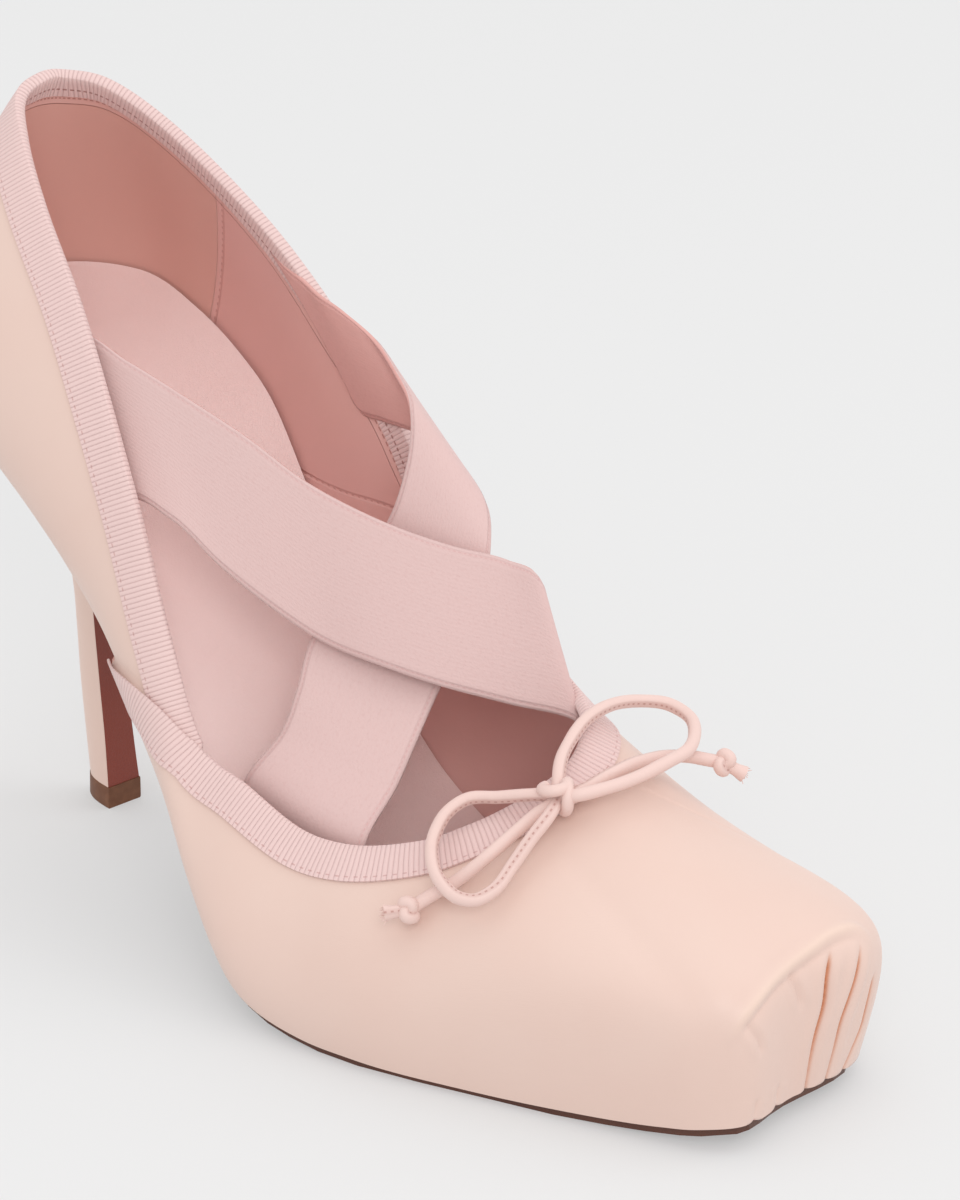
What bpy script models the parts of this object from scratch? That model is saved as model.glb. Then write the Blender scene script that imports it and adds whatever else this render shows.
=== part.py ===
"""Ballet heel pump, right shoe: satin upper, ribbon bindings, crossed straps, cord bow, slim heel.

Frame: metres, +Z up, toe toward -Y, the wearer's outer (lateral) side toward -X. The floor is z = 0.
A place on the shoe is (side, along, up): side is positive toward the lateral side, along runs from the
back of the heel toward the toe. Every form comes from the same shell: a rib runs from the foot line,
where upper meets sole, over its shoulder to the edge of the opening, and ribs follow each other round
the shoe from the back (turn 0) along the lateral side to the toe (turn 1) and back (turn 2).
"""

import math
from typing import NamedTuple

import bmesh
import bpy
import numpy as np

# Driving dimensions. The tables below are a pattern last in millimetres, and the shoe is graded from it:
# sides by ball width, alongs by shoe length, ups by seat height.
SHOE_LENGTH = 0.2060
BALL_WIDTH = 0.0725
SEAT_HEIGHT = 0.0880
PATTERN_LENGTH = 220.0
PATTERN_BALL_WIDTH = 77.5
PATTERN_SEAT_HEIGHT = 94.0

WALL = 0.0013
GAP = 0.0003
OUTSOLE_THICKNESS = 0.0016
OUTSOLE_INSET = 0.0016
SOLE_DROP = 0.0004
INSOLE_THICKNESS = 0.0030
INSOLE_GAP = 0.0008
BINDING_WIDTH = 0.0064
BINDING_THICKNESS = 0.0005
LAP_THICKNESS = 0.0010
STRAP_THICKNESS = 0.0010
CORD_DIAMETER = 0.0023


class Rib(NamedTuple):
    """One section of the shell, from foot line to edge, in pattern millimetres."""

    turn: float
    foot_side: float
    foot_along: float
    edge_side: float
    edge_along: float
    edge_up: float
    lean: float
    shoulder: float
    fullness: float


# Lean is how far the shoulder stands outside the foot line and shoulder how high it is above it.
# Fullness is how square the rib's corner is. The lateral ribs run from the back of the heel to the toe.
LATERAL_RIBS = (
    Rib(0.000, -1.0, 3.0, -4.0, 11.0, 143.2, 5.5, 22.0, 0.9),
    Rib(0.056, 15.0, 6.5, 3.0, 13.0, 141.0, 6.5, 20.0, 0.9),
    Rib(0.102, 24.5, 15.0, 8.0, 20.5, 136.8, 7.5, 18.0, 0.9),
    Rib(0.163, 28.0, 30.0, 13.2, 33.0, 127.5, 8.5, 16.0, 0.9),
    Rib(0.232, 28.5, 48.0, 18.5, 51.0, 113.0, 8.0, 14.0, 0.9),
    Rib(0.325, 28.0, 72.0, 24.5, 73.5, 84.8, 7.0, 12.0, 0.9),
    Rib(0.401, 32.0, 92.0, 27.5, 88.0, 60.5, 5.5, 10.0, 0.9),
    Rib(0.461, 37.0, 107.0, 29.0, 98.5, 44.5, 5.5, 9.0, 0.9),
    Rib(0.535, 41.0, 124.0, 28.5, 112.0, 39.8, 4.5, 12.0, 1.0),
    Rib(0.597, 38.3, 140.0, 27.0, 126.0, 35.8, 4.5, 16.0, 1.0),
    Rib(0.651, 34.7, 153.0, 24.5, 136.0, 36.0, 4.5, 20.0, 1.2),
    Rib(0.725, 27.0, 171.0, 18.0, 147.5, 39.0, 4.0, 25.0, 1.6),
    Rib(0.806, 18.5, 190.5, 11.0, 154.5, 43.0, 3.5, 28.0, 2.2),
    Rib(0.875, 11.3, 206.5, 5.0, 157.8, 45.8, 2.5, 27.0, 3.0),
    Rib(0.909, 8.0, 212.8, 2.5, 158.8, 47.0, 1.5, 26.0, 3.5),
    Rib(0.929, 4.2, 217.0, 1.0, 159.3, 47.8, 1.0, 26.5, 4.0),
    Rib(1.000, -12.0, 216.0, -4.0, 160.8, 50.5, 1.5, 31.0, 4.2),
)
# The medial ribs are met from the heel to the toe too, at the same turns.
MEDIAL_RIBS = (
    Rib(0.056, -16.5, 6.5, -10.0, 12.0, 142.8, 5.0, 20.0, 0.9),
    Rib(0.102, -25.5, 15.0, -14.5, 18.5, 142.0, 5.5, 18.0, 0.9),
    Rib(0.163, -28.5, 30.0, -20.5, 31.0, 135.0, 5.5, 18.0, 0.9),
    Rib(0.232, -28.5, 48.0, -25.0, 51.0, 122.5, 5.0, 18.0, 0.9),
    Rib(0.325, -24.0, 72.0, -28.0, 73.5, 104.5, 4.5, 18.0, 0.9),
    Rib(0.401, -20.5, 91.0, -28.5, 92.0, 88.5, 6.0, 16.0, 0.9),
    Rib(0.461, -22.5, 106.0, -28.5, 106.0, 66.0, 6.0, 15.0, 0.9),
    Rib(0.535, -29.5, 124.0, -28.0, 120.0, 60.0, 5.0, 18.0, 1.0),
    Rib(0.597, -35.0, 139.0, -27.0, 132.5, 57.5, 4.5, 22.0, 1.0),
    Rib(0.651, -38.0, 154.0, -24.5, 142.5, 56.5, 4.0, 26.0, 1.2),
    Rib(0.725, -39.5, 171.0, -20.0, 152.0, 56.0, 3.5, 30.0, 1.5),
    Rib(0.806, -38.0, 189.5, -14.5, 157.5, 54.5, 3.5, 31.0, 2.1),
    Rib(0.875, -36.8, 203.9, -10.0, 160.0, 53.0, 6.0, 28.5, 3.0),
    Rib(0.909, -35.7, 209.9, -8.0, 160.6, 52.2, 6.8, 27.5, 3.8),
    Rib(0.929, -31.6, 213.2, -6.8, 160.8, 51.8, 5.6, 28.5, 4.2),
)


class Profile(NamedTuple):
    """Height of the foot line on the lateral side, and how much higher the medial side is, in pattern mm."""

    along: float
    height: float
    medial_rise: float


BOTTOM_PROFILE = (
    Profile(0.0, 94.5, 0.0),
    Profile(22.0, 88.0, 2.0),
    Profile(42.0, 78.0, 4.5),
    Profile(54.0, 70.0, 6.5),
    Profile(64.0, 61.0, 7.5),
    Profile(75.0, 50.5, 8.0),
    Profile(86.0, 40.0, 8.0),
    Profile(97.0, 29.5, 7.0),
    Profile(110.0, 16.5, 5.0),
    Profile(125.0, 6.2, 2.0),
    Profile(138.0, 2.7, 0.5),
    Profile(150.0, 2.1, 0.0),
    Profile(185.0, 2.1, 0.0),
    Profile(205.0, 3.6, 0.0),
    Profile(222.0, 6.3, 0.0),
)
HALF_SOLE = 30.0

# Where the middle of the whole shoe lies from the last's middle line and from the back of its heel.
MIDDLE_SIDE = 0.0007
MIDDLE_ALONG = 0.1031

GRADE = np.array(
    [BALL_WIDTH / PATTERN_BALL_WIDTH, SHOE_LENGTH / PATTERN_LENGTH, SEAT_HEIGHT / PATTERN_SEAT_HEIGHT]
)


def smooth_curve(knots, values, at, closed_span=None):
    """Read a smooth curve through the values at the knots; a closed curve repeats after its span."""
    knots = np.asarray(knots, float)
    values = np.asarray(values, float)
    at = np.asarray(at, float)
    if closed_span is not None:
        at = np.mod(at - knots[0], closed_span) + knots[0]
        before = slice(-2, None)
        after = slice(0, 3)
        knots = np.concatenate([knots[before] - closed_span, knots, knots[after] + closed_span])
        values = np.concatenate([values[before], values, values[after]])
    steps = np.diff(knots)
    slopes = np.diff(values, axis=0) / steps.reshape((-1,) + (1,) * (values.ndim - 1))
    tangents = np.empty_like(values)
    tangents[0] = slopes[0]
    tangents[-1] = slopes[-1]
    share = (steps[:-1] / (steps[:-1] + steps[1:])).reshape((-1,) + (1,) * (values.ndim - 1))
    tangents[1:-1] = slopes[:-1] * (1 - share) + slopes[1:] * share
    index = np.clip(np.searchsorted(knots, at, side="right") - 1, 0, len(steps) - 1)
    wide = at.shape + (1,) * (values.ndim - 1)
    width = steps[index].reshape(wide)
    u = ((at - knots[index]).reshape(wide)) / width
    start, end = values[index], values[index + 1]
    return (
        (2 * u**3 - 3 * u**2 + 1) * start
        + (u**3 - 2 * u**2 + u) * width * tangents[index]
        + (3 * u**2 - 2 * u**3) * end
        + (u**3 - u**2) * width * tangents[index + 1]
    )


def foot_height(along, side=0.0):
    """Height of the foot line at a distance from the back of the heel, on the lateral or medial side."""
    rows = np.array(BOTTOM_PROFILE)
    level = smooth_curve(rows[:, 0] * GRADE[1], rows[:, 1:] * GRADE[2], along)
    medial_share = np.clip(0.5 - 0.5 * np.asarray(side) / (HALF_SOLE * GRADE[0]), 0, 1)
    return level[..., 0] + level[..., 1] * medial_share


def rib_table():
    """Turns and sizes, in metres, of all the ribs in order round the shoe."""
    lateral = [list(rib) for rib in LATERAL_RIBS]
    medial = [[2 - rib.turn, *rib[1:]] for rib in reversed(MEDIAL_RIBS)]
    rows = np.array(lateral + medial)
    side, along, up = GRADE
    return rows[:, 0], rows[:, 1:] * [side, along, side, along, up, side, up, 1]


RIB_TURNS, RIB_SIZES = rib_table()
RIB_STEPS = 40


def unit(vectors):
    return vectors / np.maximum(np.linalg.norm(vectors, axis=-1, keepdims=True), 1e-12)


# Small steps of turn and rise, for slopes worked out from points to either side.
TURN_NUDGE = 0.004
RISE_NUDGE = 0.03
FINE_NUDGE = 0.002


def rib_controls(turn):
    """Foot point, shoulder point, edge point and fullness of the ribs at these turns."""
    sizes = smooth_curve(RIB_TURNS, RIB_SIZES, turn, closed_span=2.0)
    ahead = smooth_curve(RIB_TURNS, RIB_SIZES[:, :2], np.asarray(turn) + TURN_NUDGE, closed_span=2.0)
    behind = smooth_curve(RIB_TURNS, RIB_SIZES[:, :2], np.asarray(turn) - TURN_NUDGE, closed_span=2.0)
    way = unit(ahead - behind)
    outward = np.stack([way[..., 1], -way[..., 0]], -1)
    foot_up = foot_height(sizes[..., 1], sizes[..., 0])
    foot = np.stack([sizes[..., 0], sizes[..., 1], foot_up], -1)
    plan = sizes[..., :2] + outward * sizes[..., 5:6]
    shoulder = np.stack([plan[..., 0], plan[..., 1], foot_up + sizes[..., 6]], -1)
    edge = sizes[..., 2:5]
    return foot, shoulder, edge, sizes[..., 7]


def shell(turn, rise):
    """Points of the upper's outer form. Along the rib, rise 0 is the foot line and rise 1 the edge."""
    turn, rise = np.broadcast_arrays(np.asarray(turn, float), np.asarray(rise, float))
    foot, shoulder, edge, fullness = rib_controls(turn)
    u = np.linspace(0, 1, RIB_STEPS + 1)
    weights = np.stack(
        [
            (1 - u) ** 2 + 0 * fullness[..., None],
            2 * fullness[..., None] * u * (1 - u),
            u**2 + 0 * fullness[..., None],
        ],
        -1,
    )
    weights = weights / weights.sum(-1, keepdims=True)
    controls = np.stack([foot, shoulder, edge], -2)
    points = weights @ controls
    lengths = np.linalg.norm(np.diff(points, axis=-2), axis=-1).cumsum(-1)
    lengths = np.concatenate([np.zeros_like(lengths[..., :1]), lengths], -1)
    wanted = rise * lengths[..., -1]
    index = np.clip((lengths <= wanted[..., None]).sum(-1) - 1, 0, RIB_STEPS - 1)
    low = np.take_along_axis(lengths, index[..., None], -1)[..., 0]
    high = np.take_along_axis(lengths, index[..., None] + 1, -1)[..., 0]
    share = ((wanted - low) / np.maximum(high - low, 1e-12))[..., None]
    start = np.take_along_axis(points, index[..., None, None], -2)[..., 0, :]
    end = np.take_along_axis(points, index[..., None, None] + 1, -2)[..., 0, :]
    return start * (1 - share) + end * share


def shell_normal(turn, rise):
    """Directions straight out of the shell."""
    along = shell(turn + TURN_NUDGE, rise) - shell(turn - TURN_NUDGE, rise)
    above, below = np.minimum(rise + RISE_NUDGE, 1), np.maximum(rise - RISE_NUDGE, 0)
    up = shell(turn, above) - shell(turn, below)
    return unit(np.cross(along, up))


def place(points):
    """Turn (side, along, up) into the object's frame, whose origin is under the middle of the whole shoe."""
    points = np.asarray(points, float)
    return np.stack([MIDDLE_SIDE - points[..., 0], MIDDLE_ALONG - points[..., 1], points[..., 2]], -1)


def shade(name, colour, roughness, metallic=0.0):
    """A plain Principled material, made once."""
    material = bpy.data.materials.get(name)
    if material is None:
        material = bpy.data.materials.new(name)
        material.use_nodes = True
        principled = material.node_tree.nodes["Principled BSDF"]
        principled.inputs["Base Color"].default_value = (*colour, 1)
        principled.inputs["Roughness"].default_value = roughness
        principled.inputs["Metallic"].default_value = metallic
    return material


def add_solid(name, points, faces, material, smooth_angle=math.radians(40)):
    """Make one closed mesh object, faces turned outward."""
    mesh = bpy.data.meshes.new(name)
    mesh.from_pydata([tuple(p) for p in place(points)], [], [tuple(f) for f in faces])
    work = bmesh.new()
    work.from_mesh(mesh)
    bmesh.ops.recalc_face_normals(work, faces=work.faces)
    work.to_mesh(mesh)
    work.free()
    mesh.shade_smooth()
    mesh.set_sharp_from_angle(angle=smooth_angle)
    mesh.materials.append(material)
    piece = bpy.data.objects.new(name, mesh)
    bpy.context.scene.collection.objects.link(piece)
    return piece


def grid_faces(rows, columns, first, wrap_columns=False):
    """Quads of a grid of points stored row by row from the index first."""
    faces = []
    for row in range(rows - 1):
        for column in range(columns if wrap_columns else columns - 1):
            after = (column + 1) % columns
            a = first + row * columns
            b = a + columns
            faces.append((a + column, a + after, b + after, b + column))
    return faces


SHELL_ROWS = 12
SEAM_STEP = 0.007
# The heel's curve runs to this turn on each side, in this many columns.
HEEL_TURN = 0.163
HEEL_COLUMNS = 8


class LapPoint(NamedTuple):
    """Where the vamp's edge crosses the shell on its way from the foot line up to the opening."""

    rise: float
    lateral_turn: float
    medial_turn: float


LAP_LINE = (
    LapPoint(0.00, 0.330, 0.330),
    LapPoint(0.39, 0.385, 0.388),
    LapPoint(0.70, 0.425, 0.427),
    LapPoint(1.00, 0.461, 0.461),
)
LAP_FADE = 0.025
# About how far round the shoe one unit of turn goes at the waist.
TURN_REACH = 0.265


def half_turn(turn):
    """How far a turn is from the back of the heel on its own side, and whether that side is medial."""
    turn = np.mod(np.asarray(turn, float), 2)
    medial = turn > 1
    return np.where(medial, 2 - turn, turn), medial


def lap_turn(rise, medial):
    """Half turn of the vamp's edge at this rise."""
    rows = np.array(LAP_LINE)
    lateral_side = smooth_curve(rows[:, 0], rows[:, 1], np.clip(rise, 0, 1))
    medial_side = smooth_curve(rows[:, 0], rows[:, 2], np.clip(rise, 0, 1))
    return np.where(medial, medial_side, lateral_side)


def ease(share):
    share = np.clip(share, 0, 1)
    return share * share * (3 - 2 * share)


def vamp_lift(turn, rise):
    """How far the vamp's edge stands off the quarter it laps over, fading out toward the toe."""
    half, medial = half_turn(turn)
    ahead = half - lap_turn(rise, medial)
    return LAP_THICKNESS * (1 - ease((ahead - SEAM_STEP) * TURN_REACH / LAP_FADE))


def skin(turn, rise, lift=0.0, lapped=True):
    """Points a lift away from the upper's outside; lapped points are on the vamp's raised edge too."""
    reach = np.asarray(lift, float) + (vamp_lift(turn, rise) if lapped else 0.0)
    return shell(turn, rise) + shell_normal(turn, rise) * reach[..., None]


# Half turns that the shell's columns stop at past the vamp's edge, and how many columns lead up to each.
VAMP_KNOTS = (0.60, 0.86, 0.90, 0.945, 1.0)
VAMP_COLUMNS = (7, 7, 2, 6, 3)


def upper_turns(rise):
    """Turns of the shell's columns at this rise. Two columns follow the vamp's edge."""
    halves = []
    for medial in (False, True):
        seam = float(lap_turn(rise, medial))
        knots = [0.0, HEEL_TURN, seam, seam + SEAM_STEP, *VAMP_KNOTS]
        counts = [HEEL_COLUMNS, HEEL_COLUMNS, 1, *VAMP_COLUMNS]
        half = [0.0]
        for start, end, count in zip(knots, knots[1:], counts):
            half.extend(np.linspace(start, end, count + 1)[1:])
        halves.append(np.array(half))
    lateral, medial_half = halves
    return np.concatenate([lateral, 2 - medial_half[-2:0:-1]])


def make_upper(material):
    """Hollow shell: outer form with its lapped step, inner form one wall inside it, and the two rims."""
    rises = np.linspace(0, 1, SHELL_ROWS)
    turn_grid = np.array([upper_turns(rise) for rise in rises])
    rise_grid = np.broadcast_to(rises[:, None], turn_grid.shape)
    base = shell(turn_grid, rise_grid)
    normal = shell_normal(turn_grid, rise_grid)
    half, medial = half_turn(turn_grid)
    past_seam = half > lap_turn(rise_grid, medial) + SEAM_STEP / 2
    outer = base + normal * np.where(past_seam, vamp_lift(turn_grid, rise_grid), 0)[..., None]
    inner = base - normal * WALL
    for form in (outer, inner):
        form[0, :, 2] = foot_height(form[0, :, 1], form[0, :, 0])
    columns = turn_grid.shape[1]
    points = np.concatenate([outer.reshape(-1, 3), inner.reshape(-1, 3)])
    count = SHELL_ROWS * columns
    faces = grid_faces(SHELL_ROWS, columns, 0, True) + grid_faces(SHELL_ROWS, columns, count, True)
    for column in range(columns):
        after = (column + 1) % columns
        top = (SHELL_ROWS - 1) * columns
        faces.append((column, after, count + after, count + column))
        faces.append((top + column, top + after, count + top + after, count + top + column))
    return add_solid("upper", points, faces, material)


def tube_faces(rings, ring_points):
    """Quads of a stack of closed rings, with a flat face at each end."""
    faces = grid_faces(rings, ring_points, 0, True)
    faces.append(tuple(range(ring_points)))
    last = (rings - 1) * ring_points
    faces.append(tuple(last + i for i in reversed(range(ring_points))))
    return faces


def plate_faces(rows, columns):
    """Faces of a plate: a top grid, a bottom grid after it, and the edge between the two."""
    count = rows * columns
    faces = grid_faces(rows, columns, 0) + grid_faces(rows, columns, count)
    border = [column for column in range(columns)]
    border += [row * columns + columns - 1 for row in range(1, rows)]
    border += [(rows - 1) * columns + column for column in range(columns - 2, -1, -1)]
    border += [row * columns for row in range(rows - 2, 0, -1)]
    for here, after in zip(border, border[1:] + border[:1]):
        faces.append((here, after, count + after, count + here))
    return faces


PLATE_COLUMNS = 9
FRONT_TURN = 0.937


def plate_edges(turns, rise, inset):
    """Edge points of a plate inside the shell by rows, lateral first; the last follows the toe's front."""
    across = np.linspace(-1, 1, PLATE_COLUMNS)
    lateral = shell(turns, rise) - shell_normal(turns, rise) * inset
    medial = shell(2 - turns, rise) - shell_normal(2 - turns, rise) * inset
    share = ((across + 1) / 2)[None, :, None]
    rows = lateral[:, None] * (1 - share) + medial[:, None] * share
    front = 1 + across * (1 - FRONT_TURN)
    last = shell(front, rise) - shell_normal(front, rise) * inset
    return np.concatenate([rows, last[None]])


WAIST_TURNS = (0.29, 0.325, 0.355, 0.385, 0.415, 0.44, 0.461, 0.48, 0.50)
FOREPART_TURNS = (0.52, 0.54, 0.56, 0.58, 0.605, 0.64, 0.69, 0.74, 0.79, 0.83, 0.86, 0.89, 0.91)
BREAST_TURN = 0.250
SEAT_TURNS = (0.012, 0.035, 0.062, 0.09, 0.12, 0.155, 0.19, 0.22, 0.25)


def make_outsole(material):
    """Thin sole under the upper from the heel's breast to the toe, flat on the floor under the ball."""
    top = plate_edges(np.array((BREAST_TURN, *WAIST_TURNS, *FOREPART_TURNS)), 0.0, OUTSOLE_INSET)
    top[..., 2] = foot_height(top[..., 1], top[..., 0]) - SOLE_DROP
    bottom = top.copy()
    bottom[..., 2] = np.maximum(top[..., 2] - OUTSOLE_THICKNESS, 0)
    points = np.concatenate([top.reshape(-1, 3), bottom.reshape(-1, 3)])
    return add_solid("outsole", points, plate_faces(top.shape[0], PLATE_COLUMNS), material)


class Cup(NamedTuple):
    """How far the insole's edge curls up at a distance from the back of the heel, in pattern millimetres."""

    along: float
    rise: float


INSOLE_CUP = (
    Cup(0.0, 4.5),
    Cup(20.0, 3.5),
    Cup(45.0, 1.5),
    Cup(80.0, 1.0),
    Cup(120.0, 0.5),
    Cup(220.0, 0.3),
)


# Rises of the shell that the insole's lower and cupped edges follow, and how far the cup leans out to it.
INSOLE_LOW_RISE = 0.012
INSOLE_HIGH_RISE = 0.07
INSOLE_LEAN = 0.9
INSOLE_CUP_POWER = 3


def make_insole(material):
    """Insole lying on the foot line inside the wall, its edge cupped up at the heel."""
    turns = np.array((*SEAT_TURNS, *WAIST_TURNS, *FOREPART_TURNS))
    bottom = plate_edges(turns, INSOLE_LOW_RISE, WALL + INSOLE_GAP)
    bottom[..., 2] = foot_height(bottom[..., 1], bottom[..., 0])
    cup_rows = np.array(INSOLE_CUP)
    cup = smooth_curve(cup_rows[:, 0] * GRADE[1], cup_rows[:, 1] * GRADE[2], bottom[..., 1])
    edge_height = INSOLE_THICKNESS + cup
    high = plate_edges(turns, INSOLE_HIGH_RISE, WALL + INSOLE_GAP)
    low = bottom[..., :2]
    reach = np.maximum(high[..., 2] - foot_height(high[..., 1], high[..., 0]), INSOLE_THICKNESS)
    share = np.clip(edge_height / reach, 0, 1)[..., None]
    top = bottom.copy()
    top[..., :2] = low + (high[..., :2] - low) * share * INSOLE_LEAN
    across = np.abs(np.linspace(-1, 1, PLATE_COLUMNS))[None, :] ** INSOLE_CUP_POWER
    top[..., 2] = foot_height(top[..., 1], top[..., 0]) + INSOLE_THICKNESS + cup * across
    back = 0
    top[back, :, 2] = foot_height(top[back, :, 1], top[back, :, 0]) + edge_height[back]
    points = np.concatenate([top.reshape(-1, 3), bottom.reshape(-1, 3)])
    return add_solid("insole", points, plate_faces(top.shape[0], PLATE_COLUMNS), material)


class HeelRing(NamedTuple):
    """One section of the heel: heights of its front and back, half width, and where front and back are."""

    front_up: float
    back_up: float
    half_width: float
    front: float
    back: float


HEEL_RINGS = (
    HeelRing(4.9, 4.9, 3.9, 41.0, 32.0),
    HeelRing(9.0, 9.0, 3.7, 40.4, 31.2),
    HeelRing(15.0, 15.0, 3.5, 39.6, 30.2),
    HeelRing(25.0, 25.0, 3.3, 38.1, 28.8),
    HeelRing(35.0, 35.0, 3.3, 36.9, 28.0),
    HeelRing(44.0, 44.5, 3.8, 36.5, 27.3),
    HeelRing(51.0, 53.5, 5.1, 36.8, 25.8),
    HeelRing(56.0, 62.5, 7.5, 37.8, 22.4),
    HeelRing(60.5, 71.0, 11.4, 40.0, 17.0),
    HeelRing(64.5, 79.0, 16.4, 42.8, 11.6),
    HeelRing(68.0, 86.0, 21.6, 46.0, 7.2),
)
HEEL_CENTRE = 1.1
HEEL_ARC_POINTS = 17
HEEL_FRONT_POINTS = 5
# How full the round back of the heel's section is: 1 is a plain half ellipse.
HEEL_BACK_POWER = 0.8
SEAT_TURN = 0.236
SEAT_INSET = 0.0010
SEAT_INNER_SHARES = (0.66, 0.33)


def heel_ring(ring):
    """Points of a D-shaped section, round the back from lateral to medial, then along the flat front."""
    side, along, up = GRADE
    angle = np.linspace(0, math.pi, HEEL_ARC_POINTS)
    depth = ring.front - ring.back
    arc_side = HEEL_CENTRE + ring.half_width * np.cos(angle)
    arc_along = ring.front - depth * np.sin(angle) ** HEEL_BACK_POWER
    first, last = HEEL_CENTRE - ring.half_width, HEEL_CENTRE + ring.half_width
    front_side = np.linspace(first, last, HEEL_FRONT_POINTS + 2)
    sides = np.concatenate([arc_side, front_side[1:-1]])
    alongs = np.concatenate([arc_along, np.full(HEEL_FRONT_POINTS, ring.front)])
    share = np.clip((ring.front - alongs) / depth, 0, 1)
    ups = ring.front_up + (ring.back_up - ring.front_up) * share
    return np.stack([sides * side, alongs * along, ups * up], -1)


def seat_ring(inset):
    """Points of the heel's seat, under the shell's foot line, round the back and then along the breast."""
    turns = np.linspace(SEAT_TURN, -SEAT_TURN, HEEL_ARC_POINTS)
    arc = shell(turns, 0.0) - shell_normal(turns, 0.0) * inset
    share = np.linspace(0, 1, HEEL_FRONT_POINTS + 2)[1:-1, None]
    front = arc[-1] * (1 - share) + arc[0] * share
    ring = np.concatenate([arc, front])
    ring[:, 2] = foot_height(ring[:, 1], ring[:, 0]) - SOLE_DROP
    return ring


def make_heel(material):
    """Slim heel: D-shaped sections from the top piece up to the seat, hollowed to the seat's slope."""
    rings = [heel_ring(ring) for ring in HEEL_RINGS]
    seat = seat_ring(SEAT_INSET)
    rings.append(seat)
    centre = seat.mean(0)
    for share in SEAT_INNER_SHARES:
        ring = centre + (seat - centre) * share
        ring[:, 2] = foot_height(ring[:, 1], ring[:, 0]) - SOLE_DROP
        rings.append(ring)
    points = np.concatenate(rings)
    return add_solid("heel", points, tube_faces(len(rings), len(seat)), material)


TOP_PIECE_HEIGHT = 4.6
TOP_PIECE = HeelRing(0.0, 0.0, 4.1, 41.3, 31.8)


def make_top_piece(material):
    """Hard-wearing piece under the heel's tip, flat on the floor."""
    base = heel_ring(TOP_PIECE)
    top = heel_ring(TOP_PIECE._replace(front_up=TOP_PIECE_HEIGHT, back_up=TOP_PIECE_HEIGHT))
    return add_solid("heel_top_piece", np.concatenate([base, top]), tube_faces(2, len(base)), material)


FLAP_THICKNESS = 0.0007
FLAP_WIDTH_SHARE = 0.96
FLAP_TOP_DROP = 0.0004


def make_breast_flap(material):
    """Thin leather down the heel's flat front, carrying the sole's colour to the top piece."""
    order = [HEEL_ARC_POINTS - 1, *range(HEEL_ARC_POINTS, HEEL_ARC_POINTS + HEEL_FRONT_POINTS), 0]
    front = np.array([heel_ring(ring)[order] for ring in HEEL_RINGS] + [seat_ring(SEAT_INSET)[order]])
    middle = front.mean(1, keepdims=True)
    front = middle + (front - middle) * FLAP_WIDTH_SHARE
    outward = unit(np.cross(np.gradient(front, axis=0), np.gradient(front, axis=1)))
    outward *= np.where(outward[..., 1:2] < 0, -1, 1)
    front[-1, :, 2] -= FLAP_TOP_DROP
    grids = [front + outward * (SOLE_DROP + FLAP_THICKNESS), front + outward * SOLE_DROP]
    points = np.concatenate([grid.reshape(-1, 3) for grid in grids])
    return add_solid("heel_breast_flap", points, plate_faces(front.shape[0], front.shape[1]), material)


LEG_STEPS = 3
TANGENT_PASSES = 3
NEAREST_PASSES = 6


def toward(turn, rise, target):
    """Turns and rises of the points of the shell nearest to the targets, starting from a guess."""
    for _ in range(NEAREST_PASSES):
        by_turn = (shell(turn + FINE_NUDGE, rise) - shell(turn - FINE_NUDGE, rise)) / (2 * FINE_NUDGE)
        low, high = np.maximum(rise - FINE_NUDGE, 0), np.minimum(rise + FINE_NUDGE, 1)
        by_rise = (shell(turn, high) - shell(turn, low)) / (high - low)[:, None]
        step = target - shell(turn, rise)
        aa, ab, bb = (by_turn**2).sum(1), (by_turn * by_rise).sum(1), (by_rise**2).sum(1)
        sa, sb = (step * by_turn).sum(1), (step * by_rise).sum(1)
        size = aa * bb - ab * ab
        turn = turn + (bb * sa - ab * sb) / size
        rise = np.clip(rise + (aa * sb - ab * sa) / size, FOOT_MARGIN, 1)
    return turn, rise


def walk_down(turns, rises, width, behind_lap):
    """Walk a width over the skin, square to a path on it and toward the foot line.

    It returns the turns and rises of LEG_STEPS + 1 lines. A piece behind the lap stops short of the vamp.
    """
    tangent = unit(np.gradient(shell(turns, rises), axis=0))
    for _ in range(TANGENT_PASSES):
        padded = np.concatenate([tangent[:1], tangent, tangent[-1:]])
        tangent = unit(padded[:-2] + 2 * tangent + padded[2:])
    lines = [(turns, rises)]
    turn, rise = turns.copy(), rises.copy()
    for _ in range(LEG_STEPS):
        down = unit(np.cross(tangent, shell_normal(turn, rise)))
        turn, rise = toward(turn, rise, shell(turn, rise) + down * width / LEG_STEPS)
        if behind_lap:
            half, medial = half_turn(turn)
            half = np.minimum(half, lap_turn(rise, medial) - LAP_MARGIN)
            turn = np.where(medial, 2 - half, half)
        lines.append((turn, rise))
    return lines


FOOT_MARGIN = 0.012
LAP_MARGIN = 0.0060
QUARTER_BINDING_GAP = 0.00040
VAMP_BINDING_GAP = 0.00050
# The ribbon stands a little further off where it turns the corners between the quarter and the vamp.
QUARTER_CORNER_RISE = 0.00025
VAMP_CORNER_RISE = 0.00045
CORNER_TURN = 0.475
CORNER_REACH = 0.12
CAP_REACH_IN = WALL + 0.0003


def corner_gap(turns, gap, rise):
    """Gap under a binding at these turns, with its rise at the corners between the quarter and the vamp."""
    half, _ = half_turn(turns)
    return gap + rise * (1 - ease(np.abs(half - CORNER_TURN) / CORNER_REACH))


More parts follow.
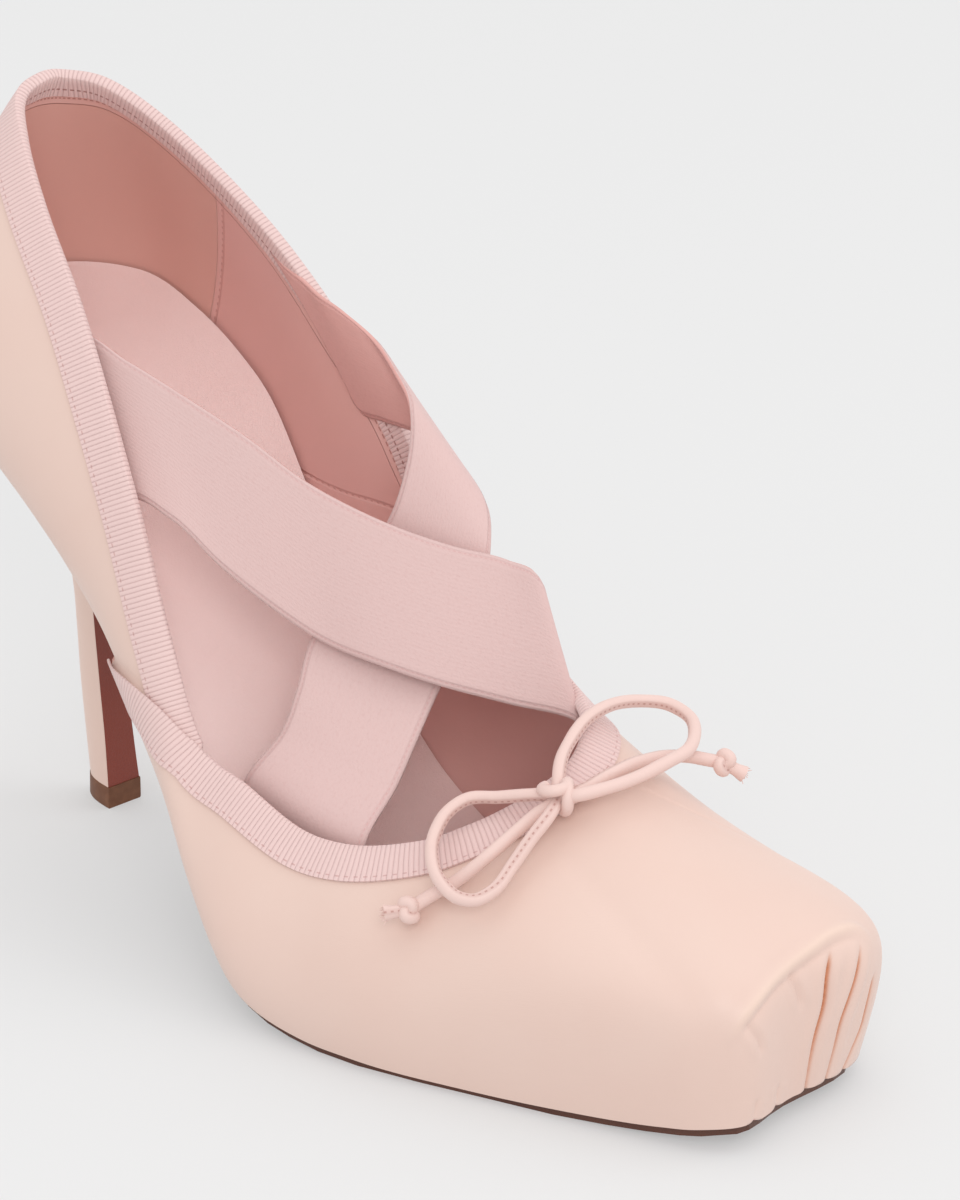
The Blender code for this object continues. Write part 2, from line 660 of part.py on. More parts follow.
def make_binding(name, turns, rises, cap, gap, behind_lap, material):
    """Ribbon folded over an edge, a gap off it: a leg outside, and a cap over the rim where cap is 1."""
    wound = turns[0] > turns[-1]
    lines = walk_down(turns, rises, -BINDING_WIDTH if wound else BINDING_WIDTH, behind_lap)
    lapped = not behind_lap
    top_turn, top_rise = lines[0]
    edge = skin(top_turn, top_rise, 0.0, lapped)
    normal = shell_normal(top_turn, top_rise)
    tangent = unit(np.gradient(edge, axis=0))
    over = unit(np.cross(normal, tangent)) * (-1 if wound else 1)
    thick = gap + BINDING_THICKNESS
    wall_in = CAP_REACH_IN + (vamp_lift(top_turn, top_rise) if lapped else 0.0)
    # How far out and how far over the rim each point of the fold is, lying flat and then folded over.
    fold = (
        (thick, 0.0, thick * 0.85, thick * 0.5),
        (gap + BINDING_THICKNESS * 0.8, 0.00010, thick * 0.35, thick),
        (gap + BINDING_THICKNESS * 0.5, 0.00014, None, thick),
        (gap + BINDING_THICKNESS * 0.2, 0.00010, None, GAP),
        (gap, 0.0, GAP, GAP),
    )
    ring = []
    for turn, rise in reversed(lines[1:]):
        ring.append(skin(turn, rise, thick, lapped))
    for flat_out, flat_over, cap_out, cap_over in fold:
        folded_out = -wall_in if cap_out is None else cap_out
        out = flat_out * (1 - cap) + folded_out * cap
        up = flat_over * (1 - cap) + cap_over * cap
        ring.append(edge + normal * out[:, None] + over * up[:, None])
    for turn, rise in lines[1:]:
        ring.append(skin(turn, rise, gap, lapped))
    rings = np.stack(ring, 1)
    points = rings.reshape(-1, 3)
    return add_solid(name, points, tube_faces(len(turns), rings.shape[1]), material)


QUARTER_BINDING_END = 0.4565
QUARTER_COLUMNS = 13
# Rises of the vamp binding's rings up the lap, then the half turns of those along the throat.
BINDING_LAP_RISES = (0.10, 0.25, 0.42, 0.58, 0.73, 0.87)
VAMP_CORNER = 0.462
VAMP_EDGE_KNOTS = (0.462, 0.475, 0.49, 0.60, 1.0)
VAMP_EDGE_COUNTS = (1, 1, 7, 11)
# The half turn where the vamp's ribbon starts to fold over the rim, and how soon it is folded.
CAP_START = 0.470
CAP_BLEND = 0.030


def make_quarter_binding(material):
    """Grosgrain round the quarter's topline, from the vamp on one side round the heel to its other side."""
    heel = np.linspace(0, HEEL_TURN, HEEL_COLUMNS + 1)
    quarter = np.linspace(HEEL_TURN, QUARTER_BINDING_END, QUARTER_COLUMNS + 1)[1:]
    half = np.concatenate([heel, quarter])
    turns = np.concatenate([-half[::-1], half[1:]])
    rises = np.ones_like(turns)
    gap = corner_gap(turns, QUARTER_BINDING_GAP, QUARTER_CORNER_RISE)
    return make_binding("quarter_binding", turns, rises, np.ones_like(turns), gap, True, material)


def make_vamp_binding(material):
    """Grosgrain along the vamp's edge: up the lap on each side and round the throat between them."""
    lap_rises = np.array(BINDING_LAP_RISES)
    lateral = lap_turn(lap_rises, False)
    medial = 2 - lap_turn(lap_rises[::-1], True)
    edge_half = [np.array([VAMP_CORNER])]
    for start, end, count in zip(VAMP_EDGE_KNOTS, VAMP_EDGE_KNOTS[1:], VAMP_EDGE_COUNTS):
        edge_half.append(np.linspace(start, end, count + 1)[1:])
    edge_half = np.concatenate(edge_half)
    turns = np.concatenate([lateral, edge_half, 2 - edge_half[-2::-1], medial])
    rises = np.concatenate([lap_rises, np.ones(2 * len(edge_half) - 1), lap_rises[::-1]])
    half, _ = half_turn(turns)
    cap = ease((half - CAP_START) / CAP_BLEND) * (rises == 1)
    gap = corner_gap(turns, VAMP_BINDING_GAP, VAMP_CORNER_RISE)
    return make_binding("vamp_binding", turns, rises, cap, gap, False, material)


class StrapRow(NamedTuple):
    """A line across a strap: its edge nearer the heel and the one nearer the toe, in pattern millimetres."""

    back_side: float
    back_along: float
    back_up: float
    front_side: float
    front_along: float
    front_up: float


# From inside the lateral quarter over the instep to inside the medial side of the vamp.
STRAP_OVER = (
    StrapRow(18.2, 47.0, 103.0, 23.4, 68.5, 77.5),
    StrapRow(16.8, 49.6, 107.6, 22.0, 70.7, 82.2),
    StrapRow(14.5, 60.5, 105.4, 19.0, 79.1, 80.3),
    StrapRow(10.5, 73.6, 100.9, 15.2, 89.0, 72.9),
    StrapRow(6.0, 85.4, 95.7, 11.0, 98.5, 66.8),
    StrapRow(1.0, 96.7, 89.0, 6.5, 107.6, 61.9),
    StrapRow(-6.0, 110.2, 83.7, 2.5, 118.6, 60.0),
    StrapRow(-13.0, 121.1, 80.6, -3.5, 129.8, 57.8),
    StrapRow(-19.5, 129.7, 78.8, -11.5, 138.6, 55.0),
    StrapRow(-22.2, 135.6, 76.2, -18.2, 147.0, 52.6),
    StrapRow(-23.0, 136.6, 68.0, -19.6, 148.4, 48.0),
    StrapRow(-22.6, 134.5, 50.0, -19.8, 147.0, 39.0),
)
# From inside the medial quarter, over its edge and under the other strap to inside the vamp's lateral side.
STRAP_UNDER = (
    StrapRow(-24.3, 55.0, 116.1, -25.3, 74.7, 98.9),
    StrapRow(-24.2, 59.3, 114.0, -25.6, 77.4, 93.8),
    StrapRow(-24.2, 64.0, 113.0, -25.8, 80.2, 90.0),
    StrapRow(-24.2, 69.5, 111.6, -25.8, 87.5, 90.6),
    StrapRow(-25.0, 75.9, 110.0, -26.0, 98.4, 91.5),
    StrapRow(-25.5, 84.4, 107.0, -26.5, 105.5, 89.6),
    StrapRow(-23.5, 93.0, 103.6, -25.5, 112.6, 87.4),
    StrapRow(-20.5, 100.8, 99.9, -23.5, 119.9, 84.0),
    StrapRow(-17.0, 104.9, 93.1, -20.5, 124.1, 80.4),
    StrapRow(-13.5, 106.4, 86.5, -18.5, 125.9, 77.6),
    StrapRow(-4.0, 105.3, 72.5, -11.0, 128.4, 64.4),
    StrapRow(6.0, 103.6, 60.3, -5.0, 127.5, 55.6),
    StrapRow(11.5, 106.3, 52.9, 2.5, 130.0, 48.7),
    StrapRow(16.0, 107.4, 46.4, 10.0, 133.1, 43.0),
    StrapRow(23.6, 106.0, 38.4, 20.6, 136.3, 35.6),
    StrapRow(25.4, 105.0, 32.0, 21.4, 136.0, 28.0),
)
STRAP_STATIONS = 32
STRAP_COLUMNS = 6


def strap_middle(rows):
    """Grid of points on a strap's middle surface, evenly spaced along it."""
    table = np.array(rows) * np.tile(GRADE, 2)
    middle = (table[:, :3] + table[:, 3:]) / 2
    lengths = np.concatenate([[0.0], np.linalg.norm(np.diff(middle, axis=0), axis=1).cumsum()])
    edges = smooth_curve(lengths, table, np.linspace(0, lengths[-1], STRAP_STATIONS))
    share = np.linspace(0, 1, STRAP_COLUMNS)[None, :, None]
    return edges[:, None, :3] * (1 - share) + edges[:, None, 3:] * share


def make_strap(name, rows, material):
    """Flat elastic: a thick ribbon each side of its middle surface."""
    middle = strap_middle(rows)
    normal = unit(np.cross(np.gradient(middle, axis=0), np.gradient(middle, axis=1)))
    half = STRAP_THICKNESS / 2
    outer, inner = middle + normal * half, middle - normal * half
    points = np.concatenate([outer.reshape(-1, 3), inner.reshape(-1, 3)])
    return add_solid(name, points, plate_faces(STRAP_STATIONS, STRAP_COLUMNS), material)


class Point(NamedTuple):
    """A point in pattern millimetres."""

    side: float
    along: float
    up: float


KNOT = Point(1.1, 167.2, 51.1)
KNOT_RADII = (2.9, 2.5, 2.5)
END_KNOT_RADIUS = 2.3
END_KNOT_LATERAL = Point(28.3, 157.3, 33.4)
END_KNOT_MEDIAL = Point(-32.7, 174.9, 50.0)
# Each cord's route as it leaves the knot, lies over the vamp and, in a loop, comes back.
LOOP_LATERAL = (
    Point(2.8, 163.9, 50.9),
    Point(4.0, 161.9, 50.4),
    Point(6.5, 157.3, 49.0),
    Point(10.4, 152.6, 48.0),
    Point(14.3, 151.9, 46.5),
    Point(18.4, 153.0, 43.8),
    Point(22.3, 156.6, 41.8),
    Point(24.6, 161.7, 39.6),
    Point(24.3, 166.6, 38.2),
    Point(22.6, 169.0, 38.3),
    Point(19.6, 170.2, 39.6),
    Point(14.5, 169.7, 42.8),
    Point(9.8, 169.4, 46.5),
    Point(5.0, 169.2, 49.9),
)
LOOP_MEDIAL = (
    Point(-0.9, 164.8, 53.3),
    Point(-4.0, 162.1, 55.0),
    Point(-8.3, 159.7, 56.4),
    Point(-13.7, 157.7, 58.0),
    Point(-20.1, 156.8, 58.6),
    Point(-27.6, 157.2, 57.5),
    Point(-32.4, 160.3, 56.5),
    Point(-33.0, 165.6, 55.5),
    Point(-29.8, 170.1, 54.6),
    Point(-26.0, 172.6, 54.1),
    Point(-20.0, 173.6, 53.9),
    Point(-13.6, 173.2, 53.0),
    Point(-4.8, 173.0, 53.2),
    Point(0.4, 171.0, 52.7),
)
TAIL_LATERAL = (
    Point(4.8, 165.5, 48.4),
    Point(9.2, 165.0, 46.2),
    Point(15.6, 164.1, 42.7),
    Point(20.7, 161.1, 38.0),
    Point(24.4, 158.6, 35.4),
    Point(26.0, 158.0, 34.6),
)
TAIL_MEDIAL = (
    Point(-3.2, 168.3, 51.4),
    Point(-9.1, 169.0, 52.8),
    Point(-19.0, 168.5, 52.5),
    Point(-25.0, 168.9, 51.5),
    Point(-28.5, 170.9, 51.0),
    Point(-30.6, 172.9, 50.5),
)
CORD_STEP = 0.0035


def make_cord(name, route, material):
    """Round cord along a smooth curve through its route."""
    knots = np.array(route) * GRADE
    lengths = np.concatenate([[0.0], np.linalg.norm(np.diff(knots, axis=0), axis=1).cumsum()])
    count = max(int(lengths[-1] / CORD_STEP), 4) + 1
    points = place(smooth_curve(lengths, knots, np.linspace(0, lengths[-1], count)))
    curve = bpy.data.curves.new(name, "CURVE")
    curve.dimensions = "3D"
    curve.bevel_depth = CORD_DIAMETER / 2
    curve.bevel_resolution = 2
    curve.use_fill_caps = True
    spline = curve.splines.new("POLY")
    spline.points.add(count - 1)
    for point, place_at in zip(spline.points, points):
        point.co = (*place_at, 1)
    curve.materials.append(material)
    piece = bpy.data.objects.new(name, curve)
    bpy.context.scene.collection.objects.link(piece)
    return piece


BALL_RINGS = 8
BALL_POINTS = 12
BALL_END = 0.06
LOBE_DEPTH = 0.05
KNOT_WAY = (-1.0, 0.3, 0.0)
END_KNOT_WAY_LATERAL = (0.8, -0.4, -0.4)
END_KNOT_WAY_MEDIAL = (-0.7, 0.6, -0.3)


def make_ball(name, centre, radii, axis, material):
    """Knot pulled tight: a closed ball with its longest way along an axis."""
    long_way = unit(np.array(axis, float))
    other = unit(np.cross(long_way, [0.0, 0.0, 1.0]))
    third = np.cross(long_way, other)
    middle = np.array(centre) * GRADE
    rings = []
    for latitude in np.linspace(BALL_END, 1 - BALL_END, BALL_RINGS) * math.pi:
        turn = np.arange(BALL_POINTS) * 2 * math.pi / BALL_POINTS
        lobes = 1 + LOBE_DEPTH * np.cos(3 * turn + 2 * latitude)
        round_way = np.sin(latitude) * lobes
        ring = middle + long_way * (radii[0] * math.cos(latitude))
        ring = ring + other * (radii[1] * round_way * np.cos(turn))[:, None]
        ring = ring + third * (radii[2] * round_way * np.sin(turn))[:, None]
        rings.append(ring)
    points = np.concatenate(rings)
    return add_solid(name, points, tube_faces(BALL_RINGS, BALL_POINTS), material)


def make_bow(material):
    """Bow at the throat: a knot, two loops, and two tails that end in knots of their own."""
    knot_radii = [radius / 1000 for radius in KNOT_RADII]
    make_ball("bow_knot", KNOT, knot_radii, KNOT_WAY, material)
    make_cord("bow_loop_near", LOOP_LATERAL, material)
    make_cord("bow_loop_far", LOOP_MEDIAL, material)
    make_cord("bow_tail_near", TAIL_LATERAL, material)
    make_cord("bow_tail_far", TAIL_MEDIAL, material)
    end_radii = [END_KNOT_RADIUS / 1000] * 3
    make_ball("bow_end_knot_near", END_KNOT_LATERAL, end_radii, END_KNOT_WAY_LATERAL, material)
    make_ball("bow_end_knot_far", END_KNOT_MEDIAL, end_radii, END_KNOT_WAY_MEDIAL, material)


def clear_scene():
    for thing in list(bpy.data.objects):
        bpy.data.objects.remove(thing, do_unlink=True)


def main():
    clear_scene()
    satin = shade("satin", (0.80, 0.60, 0.52), 0.45)
    ribbon = shade("grosgrain", (0.84, 0.62, 0.61), 0.70)
    elastic = shade("elastic", (0.80, 0.60, 0.58), 0.75)
    insole_leather = shade("insole_leather", (0.74, 0.49, 0.47), 0.55)
    sole_leather = shade("sole_leather", (0.20, 0.032, 0.020), 0.40)
    satin_cord = shade("satin_cord", (0.82, 0.63, 0.57), 0.45)
    wearing = shade("top_piece", (0.22, 0.16, 0.13), 0.60)
    make_upper(satin)
    make_outsole(sole_leather)
    make_insole(insole_leather)
    make_heel(satin)
    make_breast_flap(sole_leather)
    make_top_piece(wearing)
    make_quarter_binding(ribbon)
    make_vamp_binding(ribbon)
    make_strap("elastic_strap_over", STRAP_OVER, elastic)
    make_strap("elastic_strap_under", STRAP_UNDER, elastic)
    make_bow(satin_cord)


main()
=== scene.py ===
"""Looks of the ballet heel pump, a right shoe in pale satin with ribbon bindings, elastic straps and a bow.

Lengths are metres in the shoe's own frame: toe toward -Y, the wearer's outer side toward -X, floor at z = 0.
The pattern last is written in millimetres and graded to the shoe's size, as a pattern cutter would do it.
"""

import logging
import math
from dataclasses import dataclass
from enum import Enum
from typing import NamedTuple, Optional, Sequence

import bpy
import numpy as np
from mathutils import Matrix, Vector


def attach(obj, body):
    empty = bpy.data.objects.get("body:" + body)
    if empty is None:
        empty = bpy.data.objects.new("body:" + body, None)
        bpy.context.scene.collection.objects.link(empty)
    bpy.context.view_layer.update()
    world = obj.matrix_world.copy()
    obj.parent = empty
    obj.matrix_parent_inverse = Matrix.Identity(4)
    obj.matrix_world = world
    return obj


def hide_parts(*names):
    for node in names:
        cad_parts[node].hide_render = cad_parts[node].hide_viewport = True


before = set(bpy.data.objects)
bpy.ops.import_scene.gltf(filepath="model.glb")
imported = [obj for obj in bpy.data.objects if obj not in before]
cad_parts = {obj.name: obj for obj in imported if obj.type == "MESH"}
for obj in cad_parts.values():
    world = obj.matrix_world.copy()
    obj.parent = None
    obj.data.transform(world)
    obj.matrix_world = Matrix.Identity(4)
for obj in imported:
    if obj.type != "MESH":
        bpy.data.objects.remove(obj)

LOG = logging.getLogger("pump")
MM = 0.001
Colour = tuple[float, float, float]


# ---------------------------------------------------------------- small geometry helpers


def unit(vectors: np.ndarray) -> np.ndarray:
    """Scale vectors to a length of one."""
    return vectors / np.maximum(np.linalg.norm(vectors, axis=-1, keepdims=True), 1e-12)


def ease(share: np.ndarray) -> np.ndarray:
    """Smooth step from 0 to 1."""
    share = np.clip(share, 0, 1)
    return share * share * (3 - 2 * share)


def smooth_curve(
    knots: Sequence, values: Sequence, at: np.ndarray, closed_span: Optional[float] = None
) -> np.ndarray:
    """Read a smooth curve through the values at the knots.

    Args:
        knots: where the values stand, in order.
        values: one value or point per knot.
        at: where to read the curve.
        closed_span: the span after which a closed curve repeats.

    Returns:
        The curve's values at those places.
    """
    knots = np.asarray(knots, float)
    values = np.asarray(values, float)
    at = np.asarray(at, float)
    if closed_span is not None:
        at = np.mod(at - knots[0], closed_span) + knots[0]
        before, after = slice(-2, None), slice(0, 3)
        knots = np.concatenate([knots[before] - closed_span, knots, knots[after] + closed_span])
        values = np.concatenate([values[before], values, values[after]])
    steps = np.diff(knots)
    tall = (-1,) + (1,) * (values.ndim - 1)
    slopes = np.diff(values, axis=0) / steps.reshape(tall)
    tangents = np.empty_like(values)
    tangents[0], tangents[-1] = slopes[0], slopes[-1]
    share = (steps[:-1] / (steps[:-1] + steps[1:])).reshape(tall)
    tangents[1:-1] = slopes[:-1] * (1 - share) + slopes[1:] * share
    index = np.clip(np.searchsorted(knots, at, side="right") - 1, 0, len(steps) - 1)
    wide = at.shape + (1,) * (values.ndim - 1)
    width = steps[index].reshape(wide)
    u = ((at - knots[index]).reshape(wide)) / width
    return (
        (2 * u**3 - 3 * u**2 + 1) * values[index]
        + (u**3 - 2 * u**2 + u) * width * tangents[index]
        + (3 * u**2 - 2 * u**3) * values[index + 1]
        + (u**3 - u**2) * width * tangents[index + 1]
    )


def path_lengths(points: np.ndarray) -> np.ndarray:
    """Distance along a path at each of its points."""
    steps = np.linalg.norm(np.diff(points, axis=0), axis=-1)
    return np.concatenate([[0.0], np.cumsum(steps)])


# ---------------------------------------------------------------- the last


class Rib(NamedTuple):
    """One section of the shell, from foot line to edge, in pattern millimetres."""

    turn: float
    foot_side: float
    foot_along: float
    edge_side: float
    edge_along: float
    edge_up: float
    lean: float
    shoulder: float
    fullness: float


LATERAL_RIBS = (
    Rib(0.000, -1.0, 3.0, -4.0, 11.0, 143.2, 5.5, 22.0, 0.9),
    Rib(0.056, 15.0, 6.5, 3.0, 13.0, 141.0, 6.5, 20.0, 0.9),
    Rib(0.102, 24.5, 15.0, 8.0, 20.5, 136.8, 7.5, 18.0, 0.9),
    Rib(0.163, 28.0, 30.0, 13.2, 33.0, 127.5, 8.5, 16.0, 0.9),
    Rib(0.232, 28.5, 48.0, 18.5, 51.0, 113.0, 8.0, 14.0, 0.9),
    Rib(0.325, 28.0, 72.0, 24.5, 73.5, 84.8, 7.0, 12.0, 0.9),
    Rib(0.401, 32.0, 92.0, 27.5, 88.0, 60.5, 5.5, 10.0, 0.9),
    Rib(0.461, 37.0, 107.0, 29.0, 98.5, 44.5, 5.5, 9.0, 0.9),
    Rib(0.535, 41.0, 124.0, 28.5, 112.0, 39.8, 4.5, 12.0, 1.0),
    Rib(0.597, 38.3, 140.0, 27.0, 126.0, 35.8, 4.5, 16.0, 1.0),
    Rib(0.651, 34.7, 153.0, 24.5, 136.0, 36.0, 4.5, 20.0, 1.2),
    Rib(0.725, 27.0, 171.0, 18.0, 147.5, 39.0, 4.0, 25.0, 1.6),
    Rib(0.806, 18.5, 190.5, 11.0, 154.5, 43.0, 3.5, 28.0, 2.2),
    Rib(0.875, 11.3, 206.5, 5.0, 157.8, 45.8, 2.5, 27.0, 3.0),
    Rib(0.909, 8.0, 212.8, 2.5, 158.8, 47.0, 1.5, 26.0, 3.5),
    Rib(0.929, 4.2, 217.0, 1.0, 159.3, 47.8, 1.0, 26.5, 4.0),
    Rib(1.000, -12.0, 216.0, -4.0, 160.8, 50.5, 1.5, 31.0, 4.2),
)
MEDIAL_RIBS = (
    Rib(0.056, -16.5, 6.5, -10.0, 12.0, 142.8, 5.0, 20.0, 0.9),
    Rib(0.102, -25.5, 15.0, -14.5, 18.5, 142.0, 5.5, 18.0, 0.9),
    Rib(0.163, -28.5, 30.0, -20.5, 31.0, 135.0, 5.5, 18.0, 0.9),
    Rib(0.232, -28.5, 48.0, -25.0, 51.0, 122.5, 5.0, 18.0, 0.9),
    Rib(0.325, -24.0, 72.0, -28.0, 73.5, 104.5, 4.5, 18.0, 0.9),
    Rib(0.401, -20.5, 91.0, -28.5, 92.0, 88.5, 6.0, 16.0, 0.9),
    Rib(0.461, -22.5, 106.0, -28.5, 106.0, 66.0, 6.0, 15.0, 0.9),
    Rib(0.535, -29.5, 124.0, -28.0, 120.0, 60.0, 5.0, 18.0, 1.0),
    Rib(0.597, -35.0, 139.0, -27.0, 132.5, 57.5, 4.5, 22.0, 1.0),
    Rib(0.651, -38.0, 154.0, -24.5, 142.5, 56.5, 4.0, 26.0, 1.2),
    Rib(0.725, -39.5, 171.0, -20.0, 152.0, 56.0, 3.5, 30.0, 1.5),
    Rib(0.806, -38.0, 189.5, -14.5, 157.5, 54.5, 3.5, 31.0, 2.1),
    Rib(0.875, -36.8, 203.9, -10.0, 160.0, 53.0, 6.0, 28.5, 3.0),
    Rib(0.909, -35.7, 209.9, -8.0, 160.6, 52.2, 6.8, 27.5, 3.8),
    Rib(0.929, -31.6, 213.2, -6.8, 160.8, 51.8, 5.6, 28.5, 4.2),
)


class Profile(NamedTuple):
    """Height of the foot line on the lateral side, and how much higher the medial side is, in pattern mm."""

    along: float
    height: float
    medial_rise: float


BOTTOM_PROFILE = (
    Profile(0.0, 94.5, 0.0),
    Profile(22.0, 88.0, 2.0),
    Profile(42.0, 78.0, 4.5),
    Profile(54.0, 70.0, 6.5),
    Profile(64.0, 61.0, 7.5),
    Profile(75.0, 50.5, 8.0),
    Profile(86.0, 40.0, 8.0),
    Profile(97.0, 29.5, 7.0),
    Profile(110.0, 16.5, 5.0),
    Profile(125.0, 6.2, 2.0),
    Profile(138.0, 2.7, 0.5),
    Profile(150.0, 2.1, 0.0),
    Profile(185.0, 2.1, 0.0),
    Profile(205.0, 3.6, 0.0),
    Profile(222.0, 6.3, 0.0),
)


class LapPoint(NamedTuple):
    """Where the vamp's edge crosses the shell on its way from the foot line up to the opening."""

    rise: float
    lateral_turn: float
    medial_turn: float


LAP_LINE = (
    LapPoint(0.00, 0.328, 0.330),
    LapPoint(0.39, 0.371, 0.380),
    LapPoint(0.70, 0.413, 0.421),
    LapPoint(1.00, 0.463, 0.461),
)


@dataclass(frozen=True)
class Last:
    """The shoe's form: every outer surface is read from its shell by turn and rise.

    Turn 0 is the back of the heel, 1 the middle of the toe and 2 the heel again, lateral side first.
    Rise 0 is the foot line, where upper meets sole, and rise 1 the edge of the opening.
    """

    shoe_length: float = 0.2060
    ball_width: float = 0.0725
    seat_height: float = 0.0880
    pattern_length: float = 220.0
    pattern_ball_width: float = 77.5
    pattern_seat_height: float = 94.0
    middle_side: float = 0.0007
    middle_along: float = 0.1031
    half_sole: float = 30.0
    rib_steps: int = 40
    seam_step: float = 0.007
    lap_thickness: float = 0.0010
    lap_fade: float = 0.025
    turn_reach: float = 0.265
    turn_nudge: float = 0.004
    rise_nudge: float = 0.03

    @property
    def grade(self) -> np.ndarray:
        """Metres per pattern millimetre to the side, along and up."""
        return np.array(
            [
                self.ball_width / self.pattern_ball_width,
                self.shoe_length / self.pattern_length,
                self.seat_height / self.pattern_seat_height,
            ]
        )

    def foot_height(self, along: np.ndarray, side: np.ndarray) -> np.ndarray:
        """Height of the foot line at a distance from the back of the heel, on the lateral or medial side."""
        rows = np.array(BOTTOM_PROFILE)
        level = smooth_curve(rows[:, 0] * self.grade[1], rows[:, 1:] * self.grade[2], along)
        medial_share = np.clip(0.5 - 0.5 * np.asarray(side) / (self.half_sole * self.grade[0]), 0, 1)
        return level[..., 0] + level[..., 1] * medial_share

    def controls(self, turn: np.ndarray) -> tuple[np.ndarray, np.ndarray]:
        """Foot, shoulder and edge points of the ribs at these turns, and their fullness."""
        lateral = [list(rib) for rib in LATERAL_RIBS]
        medial = [[2 - rib.turn, *rib[1:]] for rib in reversed(MEDIAL_RIBS)]
        rows = np.array(lateral + medial)
        side, along, up = self.grade
        turns, table = rows[:, 0], rows[:, 1:] * [side, along, side, along, up, side, up, 1]
        sizes = smooth_curve(turns, table, turn, closed_span=2.0)
        ahead, behind = (
            smooth_curve(turns, table[:, :2], np.asarray(turn) + step, closed_span=2.0)
            for step in (self.turn_nudge, -self.turn_nudge)
        )
        way = unit(ahead - behind)
        outward = np.stack([way[..., 1], -way[..., 0]], -1)
        foot_up = self.foot_height(sizes[..., 1], sizes[..., 0])
        foot = np.stack([sizes[..., 0], sizes[..., 1], foot_up], -1)
        plan = sizes[..., :2] + outward * sizes[..., 5:6]
        shoulder = np.stack([plan[..., 0], plan[..., 1], foot_up + sizes[..., 6]], -1)
        return np.stack([foot, shoulder, sizes[..., 2:5]], -2), sizes[..., 7]

    def shell(self, turn: np.ndarray, rise: np.ndarray) -> np.ndarray:
        """Points of the upper's outer form at these turns and rises, as (side, along, up)."""
        turn, rise = np.broadcast_arrays(np.asarray(turn, float), np.asarray(rise, float))
        controls, fullness = self.controls(turn)
        u = np.linspace(0, 1, self.rib_steps + 1)
        low_weight = (1 - u) ** 2 + 0 * fullness[..., None]
        high_weight = u**2 + 0 * fullness[..., None]
        weights = np.stack([low_weight, 2 * fullness[..., None] * u * (1 - u), high_weight], -1)
        points = (weights / weights.sum(-1, keepdims=True)) @ controls
        lengths = np.linalg.norm(np.diff(points, axis=-2), axis=-1).cumsum(-1)
        lengths = np.concatenate([np.zeros_like(lengths[..., :1]), lengths], -1)
        wanted = rise * lengths[..., -1]
        index = np.clip((lengths <= wanted[..., None]).sum(-1) - 1, 0, self.rib_steps - 1)
        low = np.take_along_axis(lengths, index[..., None], -1)[..., 0]
        high = np.take_along_axis(lengths, index[..., None] + 1, -1)[..., 0]
        share = ((wanted - low) / np.maximum(high - low, 1e-12))[..., None]
        start = np.take_along_axis(points, index[..., None, None], -2)[..., 0, :]
        end = np.take_along_axis(points, index[..., None, None] + 1, -2)[..., 0, :]
        return start * (1 - share) + end * share

    def normal(self, turn: np.ndarray, rise: np.ndarray) -> np.ndarray:
        """Directions straight out of the shell."""
        nudge, reach = self.turn_nudge, self.rise_nudge
        along = self.shell(turn + nudge, rise) - self.shell(turn - nudge, rise)
        up = self.shell(turn, np.minimum(rise + reach, 1)) - self.shell(turn, np.maximum(rise - reach, 0))
        return unit(np.cross(along, up))

    def half_turn(self, turn: np.ndarray) -> tuple[np.ndarray, np.ndarray]:
        """How far a turn is from the back of the heel by its own side, and whether that side is medial."""
        turn = np.mod(np.asarray(turn, float), 2)
        medial = turn > 1
        return np.where(medial, 2 - turn, turn), medial

    def lap_turn(self, rise: np.ndarray, medial: np.ndarray) -> np.ndarray:
        """Half turn of the vamp's edge at this rise."""
        rows = np.array(LAP_LINE)
        sides = smooth_curve(rows[:, 0], rows[:, 1:], np.clip(rise, 0, 1))
        return np.where(medial, sides[..., 1], sides[..., 0])

    def vamp_lift(self, turn: np.ndarray, rise: np.ndarray) -> np.ndarray:
        """How far the vamp's edge stands off the quarter it laps over, fading out toward the toe."""
        half, medial = self.half_turn(turn)
        ahead = half - self.lap_turn(rise, medial)
        return self.lap_thickness * (1 - ease((ahead - self.seam_step) * self.turn_reach / self.lap_fade))

    def skin(self, turn: np.ndarray, rise: np.ndarray, lift: float = 0.0, lapped: bool = True) -> np.ndarray:
        """Points a lift away from the upper's outside; lapped points are on the vamp's raised edge too."""
        reach = lift + (self.vamp_lift(turn, rise) if lapped else np.zeros(np.shape(turn)))
        return self.shell(turn, rise) + self.normal(turn, rise) * reach[..., None]

    def place(self, points: np.ndarray) -> np.ndarray:
        """Turn (side, along, up) into the object's frame."""
        side, along, up = np.moveaxis(np.asarray(points, float), -1, 0)
        return np.stack([self.middle_side - side, self.middle_along - along, up], -1)


LAST = Last()


# ---------------------------------------------------------------- meshes


